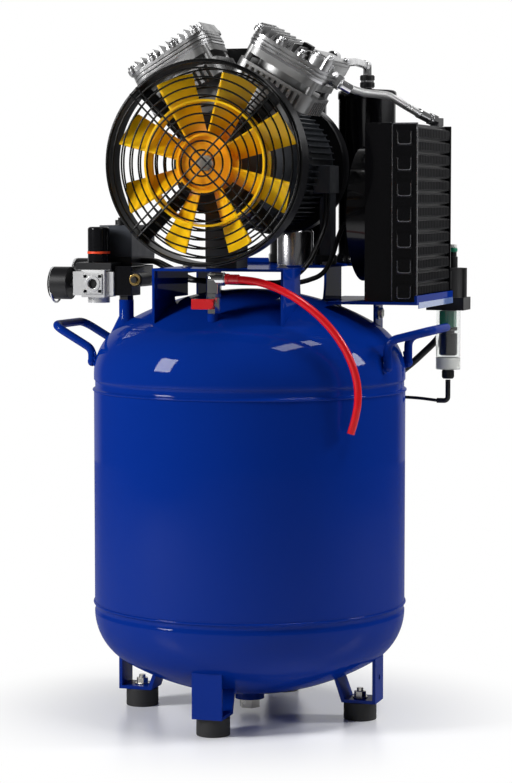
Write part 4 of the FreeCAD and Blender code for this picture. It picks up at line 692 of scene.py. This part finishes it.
def build_motor(scene):
    dress("motor_frame", "dark_cast", 0.8)
    fins = Form()
    for k in range(60):
        angle = math.radians(6 * k)
        if math.sin(angle) > 0.93:
            continue
        turn = Matrix.Translation((0, 0, CRANK.z)) @ Matrix.Rotation(-angle, 4, "Y")
        fins.block((71.5, 8, -0.9), (77, 108, 0.9), turn)
    fins.done("motor_fins", "dark_cast", edge=0.3, slot="cast_alloy")
    cowl = Form().turned([(70, 0), (84.5, 0), (86, 1.5), (86, 24), (83, 31), (76, 34), (14, 34), (0, 34)],
                         (0, 118, CRANK.z), BACK, 96)
    for radius in (26, 38, 50, 62, 72):
        cowl.ring(radius, 1.4, (0, 151.4, CRANK.z), BACK, 72, 8)
    cowl.done("motor_rear_cowl", "black_paint", replaces=("motor_cowl",), slot="black_metal")
    dress("intake_silencer", "black_plastic", 3.0, steps=4)
    can = Form().turned([(0, 548.6), (22.5, 548.6), (22.5, 588.5), (22.1, 590.4), (20.6, 591.6), (19.6, 592),
                         (18.8, 590.8), (18, 590.6), (0, 590.6)], (37, 70, 0), segments=64)
    can.done("motor_capacitor", "can", smooth=40, replaces=("run_capacitor",), slot="can_metal")


def build_fan(scene):
    dress("cooling_fan", "amber", 0.35)
    nut = Form().hexagon(10.5, (0, -168, CRANK.z), (0, -158, CRANK.z))
    nut.rod(14, (0, -161.5, CRANK.z), (0, -159.8, CRANK.z), 32, edge=0.3)
    nut.rod(5.5, (0, -170.5, CRANK.z), (0, -160, CRANK.z), 20, edge=0.6)
    nut.done("fan_nut", "zinc", "crank", smooth=30, slot="steel")


def build_guard(scene):
    wire = scene.pump.wire / MM
    dress("fan_shroud", "black_paint", 0.7)
    guard = Form()
    front, rear, first_ring, ring_step = -179.2, -144.2, 15, 10.4
    for k in range(10):
        guard.ring(first_ring + ring_step * k, wire, (0, front, CRANK.z), BACK, 112, 8)
    guard.ring(115.8, wire + 0.2, (0, front, CRANK.z), BACK, 128, 8)
    guard.ring(117.8, 1.5, (0, front + 3.6, CRANK.z), BACK, 144, 8)
    for turn in (45, -45):
        for offset in (5.2, -5.2):
            spin = Matrix.Translation((0, 0, CRANK.z)) @ Matrix.Rotation(math.radians(turn), 4, "Y")
            ends = [(offset, front + 6, -117.6), (offset, front - 1.6, -117), (offset, front - 1.9, -112),
                    (offset, front - 1.9, 112), (offset, front - 1.6, 117), (offset, front + 6, 117.6)]
            guard.tube([spin @ Vector(p) for p in ends], wire, 8)
    for k in range(4, 10):
        guard.ring(first_ring + ring_step * k, wire, (0, rear, CRANK.z), BACK, 112, 8)
    guard.done("fan_guard_wires", "wire_black", smooth=60, replaces=("fan_guard",), slot="chrome_wire")


# ------------------------------------------------------------------ dryer and cooler
def build_dryer(scene):
    columns = Form()
    for x in COLUMNS_X:
        columns.turned([(0, 548.6), (37, 548.6), (38.2, 550), (38.2, 559), (37.2, 560.5), (36.5, 561.5),
                        (36.5, 755.6), (37, 756.2), (37.5, 757), (37.5, 764.4), (36.6, 766.4), (34, 768),
                        (9.5, 768.3), (9.5, 769.6), (6, 770), (6, 771), (0, 771)],
                       (x, COLUMNS_Y, 0), segments=96)
    columns.block((40, 186, 551), (60, 198, 558))
    columns.done("dryer_columns", "gloss_black", smooth=40, replaces=("drying_columns",), slot="column_black")
    dress("column_elbows", "chrome", 0.5)
    gland = Form()
    axis = (COLUMNS_X[1], COLUMNS_Y, 0)
    gland.turned([(5.6, 770.8), (8.2, 771), (8.7, 772), (8.7, 778), (8.2, 778.6), (8.2, 780), (8.7, 780.6),
                  (8.7, 786.4), (8.2, 787.2), (5.6, 787.4)], axis, segments=40)
    for k in range(20):
        turn = Matrix.Translation(axis) @ Matrix.Rotation(math.radians(18 * k), 4, "Z")
        for low, high in ((772.4, 777.6), (781, 786)):
            gland.block((8.4, -0.7, low), (9.3, 0.7, high), turn)
    gland.done("column_gland", "black_plastic", smooth=30, slot="black_plastic")


def build_cooler(scene):
    dress("cooler_duct", "gloss_black", 1.2, steps=3)
    core = Form()
    core.block((185.5, -19, 509), (208, 149, 719))
    for k in range(13):
        z = 521.5 + k * 15.6
        core.plate(rounded_rectangle(6.8, 83, 2.4, 4), 207, 211.4, axis=RIGHT, at=(0, 65, z))
        for y in range(-13, 148, 8):
            core.rod(2.9, (210.9, y, z - 6.4), (210.9, y, z + 6.4), 12, edge=1.6)
    core.done("cooler_matrix", "black_paint", edge=0.5, replaces=("cooler_core",), slot="black_metal")
    panel, rims = Form(), Form()
    for k in range(7):
        z = 702.5 - 30.4 * k
        panel.plate(rounded_rectangle(10, 9.5, 2.4, 4), 0, 2.6, axis=-BACK, at=(199.5, -22.6, z))
        # thin rods along each pad's left, bottom and right rim are painted highlights, not wear
        highlight_corners = ((191.5, z + 6.5), (191.5, z - 7.5), (207.6, z - 7.5), (207.6, z + 7))
        rims.tube(rounded_path([(x, -25.2, height) for x, height in highlight_corners], 3, 5), 0.7, 8)
    panel.done("cooler_side_pads", "gloss_black", edge=0.7, slot="black_metal", steps=3)
    # the rods along the side plate's edges and top are painted highlights too
    for x in (184.4, 214.6):
        rims.rod(0.8, (x, -23.2, 510), (x, -23.2, 718), 12)
    rims.rod(0.8, (185, -23.2, 719), (214, -23.2, 719), 12)
    rims.done("cooler_painted_highlight_edges", "painted_highlight_edge", smooth=50, slot="black_metal")
    dress("cooler_motor", "black_plastic", 0.8)
    dress("cooler_fan", "black_plastic", 0.4)


# ------------------------------------------------------------------ filter
def build_filter(scene):
    dress("filter_head", "black_plastic", 1.2, steps=3)
    refinish("filter_bowl", "clear")
    element = Form()
    element.turned([(0, 433.4), (9, 433.4), (11.5, 435), (11.5, 461), (8, 462), (8, 464.5), (11.5, 465),
                    (11.5, 469), (0, 469)], FILTER_AXIS, segments=40)
    element.done("filter_cartridge", "black_plastic", smooth=30, replaces=("filter_element",),
                 slot="white_plastic")
    block = Form()
    block.block((198, 166, 469.2), (216, 184, 490))
    block.rod(5.2, (213, 175, 563.6), (213, 175, 569), 24, edge=0.8)
    block.done("filter_baffle", "green", edge=1.2, slot="white_plastic")
    cup = Form().pipe(15.2, 12.2, (207, 175, 416.6), (207, 175, 431), edge=0.6)
    cup.rod(4.6, (213, 175, 569), (213, 175, 573.5), 24, edge=0.8)
    cup.done("filter_cup_band", "white", smooth=40, slot="white_plastic")
    knurl = Form().turned([(0, 404), (6.2, 404), (7.2, 405), (7.2, 415), (6.4, 416), (0, 416)],
                          FILTER_AXIS, segments=32)
    for k in range(18):
        turn = Matrix.Translation(FILTER_AXIS) @ Matrix.Rotation(math.radians(20 * k), 4, "Z")
        knurl.block((6.6, -0.6, 406), (7.8, 0.6, 414), turn)
    knurl.done("drain_knob_knurled", "black_plastic", body_with("filter_drain_knob"), edge=0.2,
               replaces=("filter_drain_knob",), slot="black_plastic")
    dress("filter_lines", "black_plastic", 0.0)


# ------------------------------------------------------------------ regulator group
def build_regulator(scene):
    dress("outlet_manifold", "gloss_black", 0.9)
    dress("regulator_body", "grey_cast", 1.2, steps=3)
    dress("regulator_knob", "gloss_black", 1.0)
    top = Form().block((-202.2, -63.6, 544.2), (-155.4, -28.4, 553.2))
    top.done("regulator_bonnet", "black_plastic", edge=1.2, slot="black_plastic")
    x, z = REGULATOR_X, REGULATOR_PORT_Z
    boss = Form().pipe(9.9, 5.95, (x, -68.4, z), (x, -65.4, z), edge=0.4)
    for dx, dz, wide, tall in ((-9.6, 0, 2.6, 11), (9.6, 0, 2.6, 11), (0, -9.6, 12, 2.6), (0, 9.6, 12, 2.6)):
        boss.block((x + dx - wide, -67.6, z + dz - tall), (x + dx + wide, -65.6, z + dz + tall))
    boss.done("regulator_boss", "grey_cast", edge=0.5, slot="grey_cast")
    # painted shade: a black plug fills the port's bore where the inside of the hole lies in shade
    hole = Form().rod(5.8, (x, -64.4, z), (x, -55, z), 32)
    hole.done("regulator_port_painted_shade", "black_plastic", slot="black_plastic")
    ring = Form().pipe(14, 12.6, (x, -46, 563.6), (x, -46, 566.4), edge=0.3)
    ring.done("regulator_lock_ring", "orange_ring", body_with("regulator_knob"), smooth=40, slot="red_paint")
    dress("gauge_cases", "black_plastic", 0.6)
    rims = Form()
    for x, y, z in ((-236.2, -42.5, 524), (-225.6, 7.5, 533.5)):
        rims.ring(20, 1.5, (x, y, z), RIGHT, 72, 12)
    rims.done("gauge_rims", "chrome", smooth=60, slot="chrome_wire")
    refinish("gauge_lenses", "lens")
    refinish("outlet_gauge_pointer", "black_paint")
    refinish("tank_gauge_pointer", "black_paint")
    dress("manifold_fittings", "black_plastic", 0.4)
    dress("safety_valve_ring", "brass", 0.3)
    dress("switch_base", "black_plastic", 0.8)
    dress("switch_cover", "dark_cast", 2.0, steps=3)
    dress("switch_knob", "black_plastic", 0.6)


def build_drain(scene):
    dress("drain_valve_body", "chrome", 0.5)
    dress("drain_valve_lever", "red_enamel", 0.4)
    dress("drain_elbow", "zinc", 0.6)
    x, y, z = DRAIN_X, DRAIN_Y, DRAIN_Z
    bend = Form().rod(8.4, (x, y, 519.5), (x, y, z), 32, edge=1.2)
    bend.turned(arc_points((0, 0), 8.4, -90, 90, 12), (x, y, z), segments=32)
    bend.rod(7.8, (x, y, z), (13, y, z), 32, edge=0.8).hexagon(9.6, (x, y, 515.5), (x, y, 520.5))
    bend.done("drain_bend", "chrome", smooth=40, slot="chrome_wire")
    collar = Form().pipe(6.4, 4.6, (14, y, z), (18, y, z), 32).pipe(5.6, 4.6, (18, y, z), (30, y, z), 32)
    collar.done("drain_hose_collar", "red_enamel", smooth=40, slot="red_hose")


# ------------------------------------------------------------------ hoses and leads
DRAIN_ROUTE = [(11, -134, 537), (41, -134, 537), (73, -137.5, 529.5), (103, -138, 515), (132.5, -134, 491.5),
               (154, -128, 463), (166, -122, 434), (170, -118.5, 409), (168.6, -119, 383), (161, -119, 359)]


def build_hoses(scene):
    curve = bpy.data.curves.new("drain_hose_red", "CURVE")
    curve.dimensions = "3D"
    curve.bevel_depth = scene.lines.hose
    curve.bevel_resolution = 6
    curve.resolution_u = 16
    curve.use_fill_caps = True
    spline = curve.splines.new("NURBS")
    spline.points.add(len(DRAIN_ROUTE) - 1)
    for point, (x, y, z) in zip(spline.points, DRAIN_ROUTE):
        point.co = (x * MM, y * MM, z * MM, 1)
    spline.order_u = 3
    spline.use_endpoint_u = True
    curve.materials.append(FINISH["red_pvc"])
    hose = new_object("drain_hose_red", curve)
    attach(hose, STATIC)
    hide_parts("drain_hose")
    braided = rounded_path([(120.9, -48, 769.8), (134.2, -48, 760.8), (151, -22, 755), (168, 20, 754),
                            (180, 62, 742), (191, 105, 731), (200, 136, 727.5), (200, 136, 720)], 60, 10)
    form = Form().tube(braided, 4.6, 20, girth=True)
    form.done("braided_delivery_hose", "braid", smooth=60, replaces=("braided_hose",), slot="braid")
    ends = Form()
    ends.rod(6, (187.2, 92, 735), (193.6, 113, 730), 28, edge=0.8)
    ends.rod(6.4, (194.4, 116, 729.4), (195.6, 120, 728.6), 28)
    ends.hexagon(8, (195.6, 120, 728.6), (198.6, 129, 726.6))
    ends.hexagon(8.6, (200, 136, 719.8), (200, 136, 730))
    ends.hexagon(8.6, (120, -48, 770.4), (128.5, -48, 764.6))
    ends.rod(6, (128.5, -48, 764.6), (139, -42, 758), 28, edge=0.8)
    ends.done("hose_ferrules", "chrome", smooth=40, slot="chrome_wire")
    ferrule = Form().rod(6.6, (101, 8, 801), (101, 26, 801.2), 28, edge=1)
    ferrule.done("delivery_ferrule", "chrome", smooth=40, slot="chrome_wire")
    refinish("delivery_line", "bright_steel")
    refinish("power_cables", "black_plastic")


# ------------------------------------------------------------------ stage
def lamp(name, place, aim, size, power):
    """A rectangular area lamp turned towards a point."""
    data = bpy.data.lights.new(name, "AREA")
    data.shape = "RECTANGLE"
    data.size, data.size_y = size
    data.energy = power
    light = new_object(name, data)
    light.location = place
    light.rotation_euler = (Vector(aim) - Vector(place)).to_track_quat("-Z", "Y").to_euler()


def white_ground(settings):
    """Paper that takes shadow near the machine and fades into the white backdrop further out."""
    paper = bpy.data.materials.new("studio_paper")
    paper.use_nodes = True
    nodes, links = paper.node_tree.nodes, paper.node_tree.links
    shader = nodes["Principled BSDF"]
    shader.inputs["Base Color"].default_value = (*settings.floor, 1)
    shader.inputs["Roughness"].default_value = 0.3
    shader.inputs["Specular IOR Level"].default_value = 0.4
    glow = nodes.new("ShaderNodeEmission")
    place = nodes.new("ShaderNodeTexCoord")
    reach = operation_node(nodes, "LENGTH", "ShaderNodeVectorMath")
    fade = smooth_span(nodes, 0.14, 0.40)
    path = nodes.new("ShaderNodeLightPath")
    seen = operation_node(nodes, "MAXIMUM")
    share = operation_node(nodes, "MULTIPLY")
    blend = nodes.new("ShaderNodeMixShader")
    links.new(place.outputs["Object"], reach.inputs[0])
    links.new(reach.outputs["Value"], fade.inputs["Value"])
    links.new(path.outputs["Is Camera Ray"], seen.inputs[0])
    links.new(path.outputs["Is Transmission Ray"], seen.inputs[1])
    links.new(seen.outputs[0], share.inputs[0])
    links.new(fade.outputs["Result"], share.inputs[1])
    links.new(share.outputs[0], blend.inputs["Fac"])
    links.new(shader.outputs[0], blend.inputs[1])
    links.new(glow.outputs[0], blend.inputs[2])
    links.new(blend.outputs[0], nodes["Material Output"].inputs["Surface"])
    return paper


def white_world(scene, front):
    """White behind what is seen, a white backdrop behind the machine in its gloss, dim elsewhere."""
    world = bpy.data.worlds.new("studio")
    scene.world = world
    world.use_nodes = True
    nodes, links = world.node_tree.nodes, world.node_tree.links
    back = nodes["Background"]
    back.inputs["Color"].default_value = (1, 1, 1, 1)
    place = nodes.new("ShaderNodeTexCoord")
    ahead = operation_node(nodes, "DOT_PRODUCT", "ShaderNodeVectorMath")
    ahead.inputs[1].default_value = front
    screen = smooth_span(nodes, -0.72, -0.92)
    path = nodes.new("ShaderNodeLightPath")
    gloss = operation_node(nodes, "MULTIPLY")
    seen = operation_node(nodes, "MAXIMUM")
    direct = operation_node(nodes, "MAXIMUM")
    level = nodes.new("ShaderNodeMapRange")
    level.inputs["To Min"].default_value = scene.stage.dim
    level.inputs["To Max"].default_value = 1.0
    links.new(place.outputs["Generated"], ahead.inputs[0])
    links.new(ahead.outputs["Value"], screen.inputs["Value"])
    links.new(path.outputs["Is Glossy Ray"], gloss.inputs[0])
    links.new(screen.outputs["Result"], gloss.inputs[1])
    links.new(path.outputs["Is Camera Ray"], seen.inputs[0])
    links.new(path.outputs["Is Transmission Ray"], seen.inputs[1])
    links.new(seen.outputs[0], direct.inputs[0])
    links.new(gloss.outputs[0], direct.inputs[1])
    links.new(direct.outputs[0], level.inputs["Value"])
    links.new(level.outputs["Result"], back.inputs["Strength"])


def build_stage(scene):
    settings = scene.stage
    azimuth = math.radians(AZIMUTH)
    front = Vector((math.sin(azimuth), -math.cos(azimuth), 0))
    sheet = Form().plate([(3000 * c, 3000 * s) for c, s in circle(64)], -10, 0)
    bmesh.ops.scale(sheet.mesh, vec=(MM, MM, MM), verts=sheet.mesh.verts)
    floor = bpy.data.meshes.new("studio_floor")
    sheet.mesh.to_mesh(floor)
    sheet.mesh.free()
    ground = new_object("studio_floor", floor)
    floor.materials.append(white_ground(settings))
    white_world(scene, front)

    lamp("left_softbox", (-1.5, -1.36, 1.28), (0, 0, 0.45), (0.5, 0.8), settings.key * 1.4)
    lamp("right_softbox", (1.8, 0.55, 1.3), (0, 0, 0.5), (0.36, 0.6), settings.key * 0.6)
    lamp("top_softbox", (0.95, -0.2, 2.3), (0, 0, 0.5), (1.1, 0.36), settings.key * 0.65)

    camera = bpy.data.cameras.new("camera")
    camera.lens = settings.lens
    camera.sensor_width = 36
    camera.clip_start = 0.1
    camera.clip_end = 30
    eye = new_object("camera", camera)
    eye.location = (*(front * DISTANCE).xy, EYE_HEIGHT)
    eye.rotation_euler = (math.radians(90 - LOOK_DOWN), 0, azimuth - math.radians(LOOK_ASIDE))
    scene.camera = eye
    scene.view_settings.view_transform = "Standard"


# ------------------------------------------------------------------ operators
class COMPRESSOR_OT_stage(bpy.types.Operator):
    """Lays the floor and places the lamps and camera"""
    bl_idname = "compressor.stage"
    bl_label = "Stage"

    def execute(self, context):
        build_stage(context.scene)
        return {"FINISHED"}


class COMPRESSOR_OT_hoses(bpy.types.Operator):
    """Lays the drain hose and the braided hose, and gives the leads their finish"""
    bl_idname = "compressor.hoses"
    bl_label = "Hoses"

    def execute(self, context):
        build_hoses(context.scene)
        return {"FINISHED"}


class COMPRESSOR_OT_receiver(bpy.types.Operator):
    """Builds the tank with its bosses, legs and handles"""
    bl_idname = "compressor.receiver"
    bl_label = "Receiver"

    def execute(self, context):
        build_receiver(context.scene)
        return {"FINISHED"}


class COMPRESSOR_OT_platform(bpy.types.Operator):
    """Builds the folded platform and its bolts"""
    bl_idname = "compressor.platform"
    bl_label = "Platform"

    def execute(self, context):
        build_platform(context.scene)
        return {"FINISHED"}


class COMPRESSOR_OT_pump(bpy.types.Operator):
    """Builds the crankcase, cylinders and heads"""
    bl_idname = "compressor.pump"
    bl_label = "Pump"

    def execute(self, context):
        build_pump(context.scene)
        return {"FINISHED"}


class COMPRESSOR_OT_motor(bpy.types.Operator):
    """Builds the motor, its cowl, silencer and capacitor"""
    bl_idname = "compressor.motor"
    bl_label = "Motor"

    def execute(self, context):
        build_motor(context.scene)
        return {"FINISHED"}


class COMPRESSOR_OT_fan(bpy.types.Operator):
    """Builds the amber cooling fan and its nut"""
    bl_idname = "compressor.fan"
    bl_label = "Fan"

    def execute(self, context):
        build_fan(context.scene)
        return {"FINISHED"}


class COMPRESSOR_OT_guard(bpy.types.Operator):
    """Builds the fan shroud and its wire guard"""
    bl_idname = "compressor.guard"
    bl_label = "Guard"

    def execute(self, context):
        build_guard(context.scene)
        return {"FINISHED"}


class COMPRESSOR_OT_dryer(bpy.types.Operator):
    """Builds the drying columns and their elbows"""
    bl_idname = "compressor.dryer"
    bl_label = "Dryer"

    def execute(self, context):
        build_dryer(context.scene)
        return {"FINISHED"}


class COMPRESSOR_OT_cooler(bpy.types.Operator):
    """Builds the cooler matrix, duct and fan"""
    bl_idname = "compressor.cooler"
    bl_label = "Cooler"

    def execute(self, context):
        build_cooler(context.scene)
        return {"FINISHED"}


class COMPRESSOR_OT_filter(bpy.types.Operator):
    """Builds the filter head, bowl and cartridge"""
    bl_idname = "compressor.filter"
    bl_label = "Filter"

    def execute(self, context):
        build_filter(context.scene)
        return {"FINISHED"}


class COMPRESSOR_OT_regulator(bpy.types.Operator):
    """Builds the manifold, regulator, gauges and switch"""
    bl_idname = "compressor.regulator"
    bl_label = "Regulator"

    def execute(self, context):
        build_regulator(context.scene)
        return {"FINISHED"}


class COMPRESSOR_OT_drain(bpy.types.Operator):
    """Builds the ball valve, lever and elbow"""
    bl_idname = "compressor.drain"
    bl_label = "Drain valve"

    def execute(self, context):
        build_drain(context.scene)
        return {"FINISHED"}


OPERATORS = (
    COMPRESSOR_OT_stage,
    COMPRESSOR_OT_hoses,
    COMPRESSOR_OT_receiver,
    COMPRESSOR_OT_platform,
    COMPRESSOR_OT_pump,
    COMPRESSOR_OT_motor,
    COMPRESSOR_OT_fan,
    COMPRESSOR_OT_guard,
    COMPRESSOR_OT_dryer,
    COMPRESSOR_OT_cooler,
    COMPRESSOR_OT_filter,
    COMPRESSOR_OT_regulator,
    COMPRESSOR_OT_drain,
)


class COMPRESSOR_PT_pieces(bpy.types.Panel):
    """Lists the groups of pieces and their settings."""
    bl_idname = "COMPRESSOR_PT_pieces"
    bl_label = "Compressor"
    bl_space_type = "VIEW_3D"
    bl_region_type = "UI"
    bl_category = "Compressor"

    def draw(self, context):
        for name, settings in SETTINGS:
            box = self.layout.box()
            for prop in settings.__annotations__:
                box.prop(getattr(context.scene, name), prop)
        for operator in OPERATORS:
            self.layout.operator(operator.bl_idname)


def register():
    for name, settings in SETTINGS:
        bpy.utils.register_class(settings)
        setattr(bpy.types.Scene, name, PointerProperty(type=settings))
    for operator in OPERATORS:
        bpy.utils.register_class(operator)
    bpy.utils.register_class(COMPRESSOR_PT_pieces)


def unregister():
    bpy.utils.unregister_class(COMPRESSOR_PT_pieces)
    for operator in reversed(OPERATORS):
        bpy.utils.unregister_class(operator)
    for name, settings in reversed(SETTINGS):
        delattr(bpy.types.Scene, name)
        bpy.utils.unregister_class(settings)


def main():
    register()
    FINISH.update(make_finishes(bpy.context.scene))
    bpy.ops.compressor.stage()
    bpy.ops.compressor.hoses()
    bpy.ops.compressor.receiver()
    bpy.ops.compressor.platform()
    bpy.ops.compressor.pump()
    bpy.ops.compressor.motor()
    bpy.ops.compressor.fan()
    bpy.ops.compressor.guard()
    bpy.ops.compressor.dryer()
    bpy.ops.compressor.cooler()
    bpy.ops.compressor.filter()
    bpy.ops.compressor.regulator()
    bpy.ops.compressor.drain()


if __name__ == "__main__":
    main()
